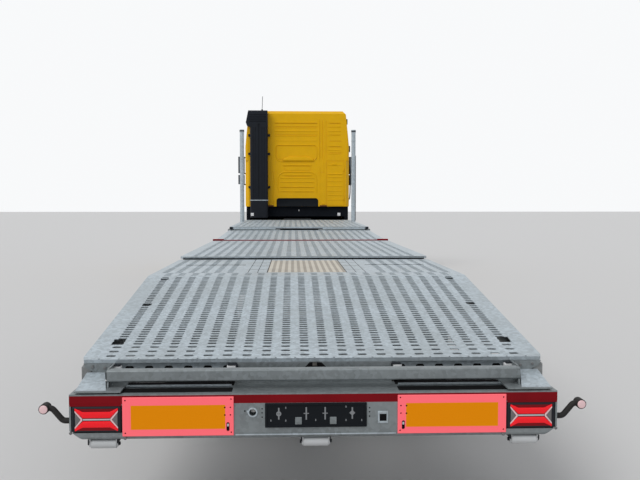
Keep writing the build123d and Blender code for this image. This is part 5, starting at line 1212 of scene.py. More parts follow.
def lozenge(x: float, z: float, wide: float, high: float) -> list[Pair]:
    """Corners of a slot with round ends, lying or standing.

    Args:
        x: its middle across the lorry.
        z: its middle height.
        wide: its width.
        high: its height.

    Returns:
        The corners in order.
    """
    radius = min(wide, high) / 2
    run_x, run_z = wide / 2 - radius, high / 2 - radius
    turns = [math.radians(11.25 + index * 22.5) for index in range(16)]
    return [(x + math.cos(turn) * radius + math.copysign(run_x, math.cos(turn)),
             z + math.sin(turn) * radius + math.copysign(run_z, math.sin(turn))) for turn in turns]


def placed(outline: Sequence[Pair], x: float, z: float, up: int = 1) -> list[Pair]:
    """Carry an outline to a place, upside down where up is -1."""
    return [(x + a, z + up * b) for a, b in outline]


@dataclass
class RearEnd:
    """Beam fittings: marker boards, lamps, plate panel, ramp slots, shelf, hook, rollers and bolts."""

    face_y: float = BEAM_FACE_Y
    board_x: float = 0.698
    board_z: float = 0.6165
    board_half: Pair = (0.280, 0.0995)
    centre_half: Pair = (0.2375, 0.0615)
    centre_z: float = 0.6128
    lock_x: float = 0.447
    lamp_x: float = 1.108
    lamp_z: float = 0.604
    lamp_half: Pair = (0.125, 0.067)
    slot_x: float = 0.758
    slot_half: float = 0.3415
    shelf_z: float = 0.730
    roller_z: float = 0.470
    holes_in: Pairs = ((0.4312, 0.703), (0.4345, 0.661), (0.4345, 0.622), (0.4305, 0.533))
    marks_in: Pairs = ((0.4625, 0.661), (0.4625, 0.622))
    bar: Pairs = ((-0.107, 0.059), (-0.068, 0.040), (0.068, 0.040), (0.107, 0.059), (0.109, 0.048),
                  (0.068, 0.008), (-0.068, 0.008), (-0.109, 0.048))
    deep: Pairs = ((-0.098, 0.058), (0.098, 0.058), (0.066, 0.036), (-0.066, 0.036))
    corner: Pairs = ((0.106, 0.038), (0.106, -0.038), (0.076, 0))
    wing: Pairs = ((0.108, 0.047), (0.070, 0.005), (0.070, -0.005), (0.108, -0.047), (0.108, -0.038),
                   (0.077, 0), (0.108, 0.038))
    panel_slots: Pairs = ((-0.154, 0.655), (-0.154, 0.589), (-0.0016, 0.5906), (0.153, 0.658),
                          (0.153, 0.589), (-0.2297, 0.590), (0.2337, 0.588))

    def boards(self) -> None:
        """Reflecting boards: a pink border round a yellow centre, with fixing holes, a locking slot, and dark
        marks and a dark back painted as the shade in the holes.
        """
        borders, centres, hole_shades, tongues = [], [], [], []
        y0, z = self.face_y - 0.0078, self.board_z
        half_x, half_z = self.board_half
        for sign in SIGNS:
            x, lock = sign * self.board_x, sign * self.lock_x
            screw = sign * (self.board_x + half_x - 0.014)
            holes = [lozenge(sign * a, b, 0.0085, 0.0085) for a, b in self.holes_in]
            holes.append(lozenge(lock, 0.5615, 0.0165, 0.047))
            holes += [lozenge(screw, z + up * (half_z - 0.016), 0.009, 0.009) for up in SIGNS]
            border = tile((x, z), self.board_half, (y0, self.face_y - 0.0005), 0.002, 1)
            borders.append(cut(border, [prism(hole, y0 - 0.02, y0 + 0.02) for hole in holes]))
            centres.append(tile((x, self.centre_z), self.centre_half, (y0 - 0.0001, y0 + 0.003)))
            # Dark lozenges and a dark back that paint the shade in the holes
            hole_shades += [prism(lozenge(sign * a, b, 0.009, 0.008), y0 - 0.0002, y0 + 0.002)
                      for a, b in self.marks_in]
            hole_shades.append(tile((x, z), (half_x - 0.004, half_z - 0.004),
                              (self.face_y - 0.0012, self.face_y - 0.0006)))
            tongues.append(tile((lock, 0.5695), (0.005, 0.0065), (y0 + 0.001, self.face_y), 0.001, 1))
        fit("board_borders", borders, BORDER_PINK, "trailer", "marker_boards")
        fit("board_centres", centres, BOARD_ORANGE)
        fit("board_hole_shades", hole_shades, SEAM_AND_SHADE_DARK)
        fit("board_tongues", tongues, ROLLER_GREY)

    def lamps(self) -> None:
        """Tail lamps: a black case, red bars that pinch in, clear prisms at the ends and a grey middle."""
        cases, reds, deeps, edges, clears, middles = [], [], [], [], [], []
        y0, z = self.face_y - 0.008, self.lamp_z
        back = y0 + 0.012
        for sign in SIGNS:
            x = sign * self.lamp_x
            case = tile((x, z), self.lamp_half, (y0 + 0.001, y0 + 0.05), 0.010, 3)
            cases.append(inset(case, faces_rear, (0.007, -0.004)))
            for up in SIGNS:
                reds.append(prism(placed(self.bar, x, z, up), y0 + 0.0002, back, bevel=0.0016))
                deeps.append(prism(placed(self.deep, x, z, up), y0 + 0.0020, back, bevel=0.0016))
            for end in SIGNS:
                corner, wing = ([(end * a, b) for a, b in outline] for outline in (self.corner, self.wing))
                clears.append(prism(placed(corner, x, z), y0 + 0.0016, back, bevel=0.0015))
                edges.append(prism(placed(wing, x, z), y0 + 0.0006, back, bevel=0.001, steps=1))
            middles.append(tile((x, z), (0.068, 0.004), (y0 + 0.0022, back), 0.0012))
        fit("lamp_cases", cases, BLACK_PLASTIC, "trailer", "tail_lamps", angle=SMOOTH)
        for name, parts, finish in (
                ("lamp_red_bars", reds, LAMP_RED), ("lamp_deep_bars", deeps, LAMP_DARK_RED),
                ("lamp_bar_edges", edges, LAMP_EDGE), ("lamp_end_prisms", clears, LAMP_PRISM),
                ("lamp_middles", middles, ROLLER_GREY)):
            fit(name, parts, finish, angle=SMOOTH)
        bands = both((0.984, self.face_y - 0.002, 0.6712), (1.243, self.face_y + 0.001, 0.6820))
        fit("lamp_top_bands", bands, DARK_RED)

    def plate_panel(self) -> None:
        """Blank number-plate panel with its grey marks, screws and clips."""
        y0 = self.face_y - 0.007
        panel = block((-0.2595, y0, 0.5535), (0.2595, self.face_y, 0.6795), 0.007)
        fit("plate_panel", [inset(panel, faces_rear, (0.008, 0), (0.002, -0.0035))], PANEL_BLACK, "trailer",
            "plate_holder", angle=SMOOTH)
        face = y0 + 0.0035
        back, front = face + 0.001, face - 0.0012
        marks = [tile((x, 0.625), (0.0036, high), (face - 0.0016, back))
                 for x, high in ((-0.1896, 0.030), (-0.0497, 0.032), (0.0466, 0.032), (0.1853, 0.030))]
        marks += [tile((x, 0.62525), (0.0135, 0.00225), (front, back)) for x in (-0.0497, 0.0466)]
        ring, hole = lozenge(-0.1896, 0.624, 0.026, 0.026), lozenge(-0.1896, 0.624, 0.012, 0.012)
        marks.append(cut(prism(ring, front, back), [prism(hole, face - 0.01, face + 0.01)]))
        diamond = placed(((0.015, 0), (0, 0.015), (-0.015, 0), (0, -0.015)), 0.1853, 0.626)
        marks.append(prism(diamond, front, back))
        marks += [prism(lozenge(x, z, 0.005, 0.011), face - 0.0008, back) for x, z in self.panel_slots]
        fit("plate_panel_marks", marks, MARK_GREY)
        fit("plate_panel_clips", [block((x, face - 0.003, 0.5685), (x + 0.034, back, 0.6065), 0.002)
                                  for x in (-0.1065, 0.0707)], GALVANISED_BEAM_SHADED)

    def beam_openings(self) -> None:
        """Screw holes beside the panel, and the socket's ring and the square bracket with their holes; the
        screw holes and the bracket's hole are dark marks painted as the shade in them.
        """
        y, out, back = self.face_y, self.face_y - 0.0008, self.face_y + 0.001
        # Dark marks painted as the shade in the screw holes and in the bracket's hole
        holes = [prism(lozenge(sign * 0.2742, z, 0.007, 0.007), out, back)
                 for sign in SIGNS for z in (0.650, 0.6293, 0.607)]
        holes += [prism(lozenge(-0.3616, 0.6394, 0.008, 0.008), out, back),
                  block((0.3255, out, 0.5817), (0.3611, back, 0.6185))]
        fit("beam_hole_shades", holes, SEAM_AND_SHADE_DARK)
        frame = block((0.3161, y - 0.005, 0.5709), (0.3693, y, 0.6343))
        cut(frame, [block((0.3255, y - 0.02, 0.5817), (0.3611, y + 0.02, 0.6185))])
        ring, hole = lozenge(-0.322, 0.633, 0.050, 0.050), lozenge(-0.322, 0.633, 0.036, 0.036)
        socket = cut(prism(ring, y - 0.006, y + 0.002), [prism(hole, y - 0.02, y + 0.02)])
        tab = block((-0.352, y - 0.004, 0.628), (-0.341, back, 0.642), 0.0015)
        fit("beam_brackets", [soften(frame, 0.0012), socket, tab], GALVANISED, angle=SMOOTH)

    def slots(self) -> None:
        """Ramp slots: an inner wall with dark ovals painted as the shade in its oval holes, white buffers at
        the ends and their bent brackets.
        """
        y0, rear, front = TAIL_Y + 0.03, TAIL_Y - 0.032, TAIL_Y + 0.004
        inner, outer = self.slot_x - self.slot_half, self.slot_x + self.slot_half
        low, top = self.shelf_z + 0.030, TAIL_Z - 0.025
        walls = both((inner, y0, self.shelf_z + 0.008), (outer - 0.024, y0 + 0.006, TAIL_Z - 0.021))
        oval_shades = [prism(lozenge(sign * x, 0.8050, 0.046, 0.024), y0 - 0.0015, y0 + 0.001)
                 for sign in SIGNS for x in (0.105 * index + 0.0525 for index in range(3, 11))
                 if inner + 0.02 < x < outer - 0.044]
        buffers, brackets = [], []
        for x, way in ((outer - 0.046, 1), (inner + 0.029, -1)):
            buffers += both((x - 0.024, TAIL_Y - 0.030, low), (x + 0.024, TAIL_Y + 0.006, TAIL_Z - 0.031),
                            0.005, 3)
            brackets += both((x - way * 0.020, rear, top - 0.005), (x + way * 0.033, front, top), 0.0015)
            brackets += both((x + way * 0.027, rear, low), (x + way * 0.033, front, top - 0.001), 0.0015)
        fit("slot_walls", walls, GALVANISED)
        fit("slot_oval_shades", oval_shades, SEAM_AND_SHADE_DARK)
        fit("slot_buffers", buffers, BUFFER_WHITE, angle=SMOOTH)
        fit("buffer_brackets", brackets, BLACK_PLASTIC, angle=SMOOTH)

    def shelf(self) -> None:
        """Dark strips painted as the shade on the shelf behind the beam, rods on it, gussets at its ends and
        the beam's lip.
        """
        strips, rods, plates = [], [], []
        top, rod_y = self.shelf_z + 0.0005, -8.100
        rod_z = top + 0.006
        # Dark strips painted as the shade on the shelf
        for low_y, high_y, outer, rise in ((-8.0730, -7.998, 1.045, 0.0012), (-8.2080, -8.126, 1.012, 0.0012),
                                           (-7.992, -7.988, 1.045, 0.038)):
            strips += both((0.430, low_y, top), (outer, high_y, top + rise))
        for sign in SIGNS:
            rods.append(drum((sign * 0.440, rod_y, rod_z), (sign * 1.025, rod_y, rod_z), 0.007, 12))
            plan = ((1.061, 0), (1.220, 0), (1.215, 0.231), (1.120, 0.231))
            slope = prism([(sign * x, y) for x, y in plan], 0, 0.004, "Z")
            slope.rotation_euler = (math.atan2(0.051, 0.225), 0, 0)
            slope.location = (0, -8.235, 0.7375)
            plates.append(apply_place(slope))
        fit("shelf_shade_strips", strips, SEAM_AND_SHADE_DARK)
        fit("shelf_rods", rods, GALVANISED, angle=SMOOTH)
        fit("end_gussets", plates, GALVANISED)
        lip = block((-0.410, self.face_y - 0.006, 0.5150), (0.410, self.face_y + 0.001, 0.5215), 0.002)
        fit("beam_lip", [lip], GALVANISED, angle=SMOOTH)

    def hook(self) -> None:
        """Draw hook before the painted shade of its mouth in the middle of the deck's end."""
        y = TAIL_Y - 0.0115
        mouth = ((-0.062, 0.8010), (0.074, 0.8010), (0.037, 0.8375), (-0.029, 0.8375))
        fit("hook_mouth_shade", [prism(mouth, y, y + 0.006)], SEAM_AND_SHADE_DARK)
        fit("hook_tips", [block((x - 0.005, y - 0.003, 0.799), (x + 0.005, y + 0.002, 0.808), 0.001, 1)
                          for x in (-0.012, 0.036)], BUFFER_WHITE)
        back = block((-0.040, y - 0.002, 0.798), (0.034, y + 0.002, 0.806))
        shank = ((-8.001, 0.838), (-8.022, 0.838), (-8.036, 0.826), (-8.036, 0.812), (-8.028, 0.812),
                 (-8.026, 0.822), (-8.018, 0.828), (-8.001, 0.828))
        fit("draw_hook", [prism(shank, -0.012, 0.012, "X", 0.002), back], COUPLING_STEEL, angle=SMOOTH)

    def lamp_arm_lenses(self) -> None:
        """Lenses of the marker lamps on their rubber arms, pale red to the rear and white to the front."""
        for label, finish, start, end in (("red", LAMP_EDGE, -8.2395, -8.230),
                                          ("white", LAMP_CLEAR, -8.186, -8.1755)):
            fit(f"arm_lamp_{label}", [drum((x, start, 0.655), (x, end, 0.655), 0.021, 20, 0.021, 0.003, 3)
                                      for x in (-1.375, 1.375)], finish, angle=SMOOTH)

    def rollers(self) -> None:
        """End plates and axle nuts of the three rollers."""
        parts = []
        y, z = self.face_y + 0.035, self.roller_z
        for x in (-1.080, 0.0, 1.080):
            for end in SIGNS:
                at = x + end * 0.073
                parts.append(drum((at, y, z), (at + end * 0.009, y, z), 0.010, 6, bevel=0.001, steps=1))
                parts.append(block((at - 0.003, y - 0.030, z + 0.008), (at + 0.003, y + 0.030, z + 0.0275),
                                   0.001, 1))
        fit("roller_nuts", parts, BLACK_PLASTIC)

    def bolts(self) -> None:
        """Bolt heads on the beam and on the end of the tail deck."""
        places = [(sign * x, self.face_y, z) for sign in SIGNS for x, z in ((0.965, 0.506), (1.238, 0.535))]
        places += [(sign * x, TAIL_Y - 0.008, z) for sign in SIGNS
                   for x, z in ((1.120, 0.815), (1.185, 0.822))]
        fit("beam_bolts", [drum((x, y - 0.006, z), (x, y + 0.001, z), 0.0085, 6, bevel=0.001, steps=1)
                           for x, y, z in places], BOLT_STEEL)

    def build(self) -> None:
        """Model and dress every fitting of the rear end."""
        self.boards()
        self.lamps()
        self.plate_panel()
        self.beam_openings()
        self.slots()
        self.shelf()
        self.hook()
        self.lamp_arm_lenses()
        self.rollers()
        self.bolts()


# The trailer's other fittings


@dataclass
class DeckFittings:
    """Step of the gooseneck, caps and clamps of the posts, side lamps and the lashing points."""

    post_x: float = 1.200
    post_y: float = POST_Y
    post_r: float = 0.045
    post_top: float = 3.250
    bands: tuple[float, ...] = (1.62, 2.10, 2.62, 3.02)
    ring_places: Pairs = ((-7.2, 0.803), (-6.4, 0.916), (-3.6, 0.954), (-2.4, 0.954), (1.7, 1.131),
                          (2.6, 1.131))
    lamp_places: Pairs = ((-7.35, 0.858), (-5.95, 1.030), (-3.0, 1.030), (-1.0, 1.070), (0.9, 1.108),
                          (2.4, 1.195))

    def step(self) -> None:
        """Riser of the gooseneck: a light rail each side, a dark middle painted as the shade in its gap, and
        black pads at the corners.
        """
        y1 = STEP_Y - 0.0015
        y0 = y1 - 0.006
        fit("step_rails", both((0.420, y0, 1.222), (1.150, y1, 1.245), 0.002), GALVANISED)
        fit("step_pads", both((1.160, y0 - 0.020, 1.228), (1.214, STEP_Y + 0.004, 1.2672), 0.005, 3),
            BLACK_PLASTIC, angle=SMOOTH)
        fit("step_gap_shade", [block((-0.410, y0 + 0.002, 1.212), (0.410, y1, 1.240), 0.001, 1)], SEAM_AND_SHADE_DARK)

    def posts(self) -> None:
        """Black domed caps and clamp bands on the two posts, and a thin cable down the right one."""
        caps, bands = [], []
        y, radius, top = self.post_y, self.post_r, self.post_top
        lug_y = y - radius
        for x in (-self.post_x, self.post_x):
            caps.append(drum((x, y, top - 0.058), (x, y, top - 0.0005), radius + 0.0055, 28,
                             bevel=0.016, steps=4))
            for z in self.bands:
                bands += [drum((x, y, z - 0.012), (x, y, z + 0.012), radius + 0.0025, 28,
                               bevel=0.001, steps=1),
                          block((x - 0.007, lug_y - 0.014, z - 0.009), (x + 0.007, lug_y + 0.002, z + 0.009),
                                0.001, 1)]
        fit("post_caps", caps, BLACK_PLASTIC, angle=SMOOTH)
        fit("post_bands", bands, GALVANISED, angle=SMOOTH)
        side = self.post_x + radius + 0.004
        fit("post_cable", [drum((side, y, 1.300), (side, y, 2.700), 0.005, 8)], BLACK_RUBBER, angle=SMOOTH)

    def lashing(self) -> None:
        """Lashing rings along both side rails."""
        ring = cut(drum((0, 0, 0), (0, 0, 0.008), 0.022, 16), [drum((0, 0, -0.01), (0, 0, 0.02), 0.013, 16)])
        ring.rotation_euler = (0, math.radians(90), 0)
        tab = block((-0.001, -0.011, 0.014), (0.009, 0.011, 0.040), 0.001, 1)
        fitting = join("fitting", [soften(apply_place(ring), 0.002), tab])
        edge = HALF_DECK - 0.020
        rings = [copy_to(fitting, (sign * edge - 0.004, y, z)) for sign in SIGNS for y, z in self.ring_places]
        remove(fitting)
        fit("lashing_rings", rings, BOLT_STEEL, angle=SMOOTH)

    def side_lamps(self) -> None:
        """Amber side markers along the trailer, each in a black base."""
        bases, lenses = [], []
        face = HALF_DECK + 0.006
        for y, z in self.lamp_places:
            bases += both((HALF_DECK - 0.010, y - 0.055, z - 0.022), (face, y + 0.055, z + 0.022), 0.003)
            lenses += both((face - 0.002, y - 0.048, z - 0.016), (face + 0.008, y + 0.048, z + 0.016),
                           0.005, 3)
        fit("side_lamp_bases", bases, BLACK_PLASTIC, angle=SMOOTH)
        fit("side_lamp_lenses", lenses, LAMP_AMBER, angle=SMOOTH)

    def build(self) -> None:
        """Model and dress the fittings."""
        self.step()
        self.posts()
        self.lashing()
        self.side_lamps()


# The cab and the tractor


@dataclass
class CabBack:
    """Back wall of the cab: tunnel, pressed shapes, mounts, and fittings of the hatch and the intake."""

    back_y: float = CAB_BACK_Y
    arch_half: float = 0.456
    arch_top: float = 2.414
    arch_low: float = 1.930
    arch_round: float = 0.16
    mount_x: Pair = (-0.650, 0.620)
    arch_lines: Pairs = ((2.348, 0.355), (2.270, 0.405), (2.173, 0.405), (2.064, 0.405), (1.954, 0.405))
    panel_lines: Pairs = ((3.590, 0.015), (3.470, 0.009), (3.385, 0.015), (3.270, 0.009), (3.160, 0.009))
    side_lines: tuple[float, ...] = (3.593, 3.485, 3.387, 3.289, 3.038, 2.940, 2.852)
    hatch_lines: Pairs = ((2.579, 0.011), (2.371, 0.016), (2.295, 0.010), (2.196, 0.010), (2.086, 0.010),
                          (1.966, 0.010), (1.867, 0.010), (1.757, 0.010))
    uprights: tuple[Triple, ...] = ((0.535, 1.640, 2.560), (0.520, 2.640, 3.680), (0.630, 2.420, 3.680),
                                    (-0.555, 1.640, 2.380))
    frame: Pairs = ((-0.520, 2.800), (-0.520, 3.010), (-0.480, 3.056), (0.425, 3.056), (0.465, 3.010),
                    (0.465, 2.780), (0.400, 2.690), (0.330, 2.664), (-0.390, 2.664), (-0.470, 2.700),
                    (-0.520, 2.800))
    bulge: Pairs = ((-0.368, 2.690), (-0.330, 2.678), (0.370, 2.678), (0.410, 2.690), (0.340, 2.745),
                    (0.230, 2.782), (-0.190, 2.782), (-0.300, 2.745))
    grab: Pairs = ((1.236, 2.62), (1.262, 2.58), (1.274, 2.48), (1.278, 2.20), (1.274, 1.90),
                   (1.262, 1.79), (1.236, 1.75))

    def tunnel(self) -> None:
        """Dark sheet in the recess over the frame, painted as the shade in the recess."""
        shade_sheet = block((-0.497, self.back_y + 0.004, 1.5945), (0.497, self.back_y + 0.0315, 1.7915))
        soften(inset(shade_sheet, faces_rear, (0.020, -0.012)), 0.003)
        fit("tunnel_shade_sheet", [shade_sheet], PANEL_BLACK, "cab", angle=SMOOTH)

    def ridge(self, points: Sequence[Pair], radius: float) -> list[Piece]:
        """Lay a half-round ridge along a path on the back wall.

        Args:
            points: its corners, across and up.
            radius: the ridge's radius.

        Returns:
            The ridge's runs.
        """
        y = self.back_y + radius * 0.35
        return [drum((a[0], y, a[1]), (b[0], y, b[1]), radius, 10) for a, b in zip(points, points[1:])]

    def arch(self) -> list[Pair]:
        """Points of the arch with its round shoulders.

        Returns:
            The points from one foot to the other.
        """
        half, bend = self.arch_half, self.arch_round
        turns = [math.radians(degrees) for degrees in range(0, 91, 15)]
        left = [(-half + bend - bend * math.cos(turn), self.arch_top - bend + bend * math.sin(turn))
                for turn in turns]
        right = [(-x, z) for x, z in reversed(left)]
        return [(-half, self.arch_low)] + left + right + [(half, self.arch_low)]

    def pressings(self) -> None:
        """Raised arch with its ribs, the panels' ridges, the frame and the bulge under the upper panel."""
        runs = [(self.arch(), 0.016)]
        runs += [(((-half, z), (half, z)), 0.011) for z, half in self.arch_lines]
        runs += [(((-0.530, z), (0.465, z)), radius) for z, radius in self.panel_lines]
        runs += [(self.frame, 0.013), (((-0.335, 2.577), (0.344, 2.577)), 0.013)]
        runs += [(((0.739, z), (1.020, z)), 0.010) for z in self.side_lines]
        runs += [(((0.725, z), (1.070, z)), radius) for z, radius in self.hatch_lines]
        runs += [(((x, low), (x, high)), 0.009) for x, low, high in self.uprights]
        fit("back_wall_ridges", [part for points, radius in runs for part in self.ridge(points, radius)],
            CAB_YELLOW, "cab", angle=SMOOTH_WIDE)
        bulge = prism(self.bulge, self.back_y - 0.030, self.back_y + 0.004, bevel=0.018, steps=4)
        fit("back_wall_bulge", [bulge], CAB_YELLOW, "cab", angle=SMOOTH_WIDE)

    def mounts(self) -> None:
        """Rubber mounts at the wall's lower edge, their covers, white blocks painted as the light patches
        under the cab, and a black sheet at the front painted as the shade under the cab.
        """
        y = self.back_y
        fit("wall_mounts", [block((x - 0.085, y - 0.020, 1.5900), (x + 0.085, y + 0.01, 1.6255), 0.010, 3)
                            for x in self.mount_x], MOUNT_BROWN, "cab", angle=SMOOTH)
        # White blocks painted as the light patches seen under the cab
        lamps = [block((x - 0.036, end - 0.010, 1.370), (x + 0.036, end + 0.004, 1.442), 0.006, 3)
                 for x, end in ((-1.066, 5.8055), (1.000, 6.0800))]
        lamps.append(block((0.030, 6.072, 1.482), (0.044, 6.084, 1.522), 0.003))
        fit("under_cab_light_patches", lamps, BUFFER_WHITE, "cab", angle=SMOOTH)
        # A black sheet at the cab's front that paints the shade under the cab
        shade_sheet = block((-1.170, 8.130, 1.130), (1.170, 8.144, 1.430), 0.003, 1)
        fit("front_wall_shade_sheet", [shade_sheet], UNDER_CAB_SHADE, "cab")
        fit("mount_covers", [block((x - 0.030, y - 0.012, 1.640), (x + 0.030, y + 0.004, 1.668), 0.004)
                             for x in self.mount_x], CAB_YELLOW, "cab", angle=SMOOTH)

    def hatch(self) -> None:
        """Latch and hinges of the side hatch, and the curved grab bar and two pads at the cab's edge."""
        y = self.back_y
        parts = [block((0.830, y - 0.014, 2.585), (0.930, y + 0.004, 2.625), 0.006, 3)]
        parts += [block((1.090, y - 0.010, z - 0.04), (1.116, y + 0.004, z + 0.04), 0.003)
                  for z in (1.780, 2.480)]
        fit("hatch_fittings", parts, CAB_YELLOW, "cab", angle=SMOOTH)
        y += 0.16
        runs = [drum((a[0], y, a[1]), (b[0], y, b[1]), 0.013, 14) for a, b in zip(self.grab, self.grab[1:])]
        runs += [block((x - 0.02, y - 0.045, z - high), (x + 0.026, y + 0.045, z + high), 0.010, 3)
                 for x, z, high in ((1.182, 3.625, 0.065), (1.246, 2.975, 0.075))]
        fit("cab_edge_fittings", runs, BLACK_PLASTIC, "cab", angle=SMOOTH_WIDE)

    def intake(self) -> None:
        """Joint ring and louvres of the air intake stack."""
        ring = block((-1.120, 5.7995, 1.733), (-0.693, 6.009, 1.752), 0.004)
        fit("intake_joint_ring", [ring], GALVANISED, "cab", angle=SMOOTH)
        fit("intake_louvres", [block((-1.135, 5.7985, z), (-0.735, 5.812, z + 0.012), 0.003)
                               for z in (3.59, 3.63, 3.67, 3.71, 3.75)], PANEL_BLACK, "cab", angle=SMOOTH)

    def build(self) -> None:
        """Model and dress the back of the cab."""
        self.tunnel()
        self.pressings()
        self.mounts()
        self.hatch()
        self.intake()


@dataclass
class CabFront:
    """Glass, wipers, lamps, handles and trim of the cab's front and sides."""

    nose_y: float = NOSE_Y
    half: float = CAB_HALF
    window: Pairs = ((7.190, 2.060), (7.890, 1.930), (7.870, 2.170), (7.790, 2.875), (7.210, 2.875),
                     (7.190, 2.840))
    window_middle: Pair = (7.55, 2.45)
    seal_share: float = 0.955
    lamp_x: float = 0.980
    lamp_z: float = 0.690
    wiper_x: Triple = (-0.26, 0.38, 1.02)
    wiper_sharp: float = 50.0

    def door_glass(self) -> None:
        """Side windows in their rubber seals, each on its door."""
        half, share, (mid_y, mid_z) = self.half, self.seal_share, self.window_middle
        hole = [(mid_y + (y - mid_y) * share, mid_z + (z - mid_z) * share) for y, z in self.window]
        for sign, side in SIDES:
            pane = prism(self.window, sign * (half - 0.036), sign * (half - 0.030), "X")
            fit(f"door_glass_{side}", [pane], SCREEN_GLASS, f"door_{side}")
            seal = prism(self.window, sign * (half - 0.045), sign * (half - 0.004), "X")
            cut(seal, [prism(hole, sign * (half - 0.055), sign * (half + 0.006), "X")])
            fit(f"door_seal_{side}", [seal], BLACK_RUBBER, f"door_{side}")

    def door_trim(self) -> None:
        """Door handles in their cups, and a rubbing strip along the foot of each door."""
        out = self.half
        for sign, side in SIDES:
            cup = block((sign * (out - 0.004), 7.205, 1.730), (sign * (out + 0.006), 7.365, 1.800), 0.004)
            grip = block((sign * (out + 0.004), 7.215, 1.772), (sign * (out + 0.026), 7.355, 1.792), 0.006, 3)
            strip = block((sign * (out - 0.004), 7.190, 1.090), (sign * (out + 0.010), 8.000, 1.150),
                          0.008, 3)
            fit(f"door_handle_{side}", [cup, grip, strip], BLACK_PLASTIC, f"door_{side}", angle=SMOOTH)

    def side_trim(self) -> None:
        """Locker lids, side markers and a rain gutter along the cab's sides."""
        out = self.half
        lids = both((out - 0.004, 6.240, 1.640), (out + 0.004, 6.860, 2.060), 0.003)
        lids += both((out - 0.004, 6.240, 2.140), (out + 0.004, 6.860, 2.480), 0.003)
        gutters = both((out, 6.120, 2.972), (out + 0.008, 7.900, 2.986), 0.003)
        lenses = both((out, 6.95, 1.180), (out + 0.012, 7.05, 1.215), 0.004)
        for name, parts, finish in (("side_locker_lids", lids, CAB_YELLOW),
                                    ("side_gutters", gutters, CAB_YELLOW),
                                    ("cab_side_markers", lenses, LAMP_AMBER)):
            fit(name, parts, finish, "cab", angle=SMOOTH)

    def wipers(self) -> None:
        """Three wipers parked along the foot of the windscreen."""
        parts = []
        for x in self.wiper_x:
            blade = ((x - 0.79, 2.083), (x - 0.21, 2.030), (x - 0.21, 2.044), (x - 0.79, 2.097))
            parts += [drum((x, 8.160, 1.943), (x, 8.206, 1.947), 0.020, 14),
                      drum((x, 8.202, 1.946), (x - 0.50, 8.189, 2.058), 0.009, 8, 0.006),
                      prism(blade, 8.176, 8.190, bevel=0.002, steps=1)]
        fit("wipers", parts, BLACK_PLASTIC, "cab", angle=self.wiper_sharp)

    def lamps(self) -> None:
        """Headlamp units: a black mask, two round lamps with reflectors and an amber corner."""
        masks, lenses, rings = [], [], []
        y, z = self.nose_y - 0.0145, self.lamp_z
        for sign in SIGNS:
            x = sign * self.lamp_x
            masks.append(tile((x, z), (0.148, 0.098), (y - 0.010, y + 0.004), 0.005))
            for at, radius in ((x - sign * 0.072, 0.062), (x + sign * 0.058, 0.050)):
                ring = drum((at, y, z), (at, y + 0.010, z), radius, 32, radius * 0.96)
                rings.append(inset(ring, lambda _, normal: normal.y > 0.99, (0.007, 0), (0.012, -0.006)))
                lenses.append(drum((at, y + 0.002, z), (at, y + 0.0095, z), radius - 0.010, 32,
                                   radius - 0.024, 0.002))
        ambers = both((self.lamp_x + 0.118, y - 0.004, 0.600), (self.lamp_x + 0.146, y + 0.009, 0.780),
                      0.005, 3)
        for name, parts, finish in (("headlamp_masks", masks, BLACK_PLASTIC),
                                    ("headlamp_rings", rings, WHEEL_SILVER),
                                    ("headlamp_lenses", lenses, LAMP_CLEAR),
                                    ("front_indicators", ambers, LAMP_AMBER)):
            fit(name, parts, finish, "tractor", angle=SMOOTH)

    def mirrors(self) -> None:
        """Mirror glass in each housing, facing the rear."""
        for sign, side in SIDES:
            panes = [block((sign * 1.391, 7.8585, low), (sign * 1.524, 7.866, high), 0.003)
                     for low, high in ((2.182, 2.398), (2.474, 2.876))]
            fit(f"mirror_glass_{side}", panes, MIRROR_GLASS, f"door_{side}")

    def build(self) -> None:
        """Model and dress the front and the sides."""
        self.door_glass()
        self.door_trim()
        self.side_trim()
        self.wipers()
        self.lamps()
        self.mirrors()


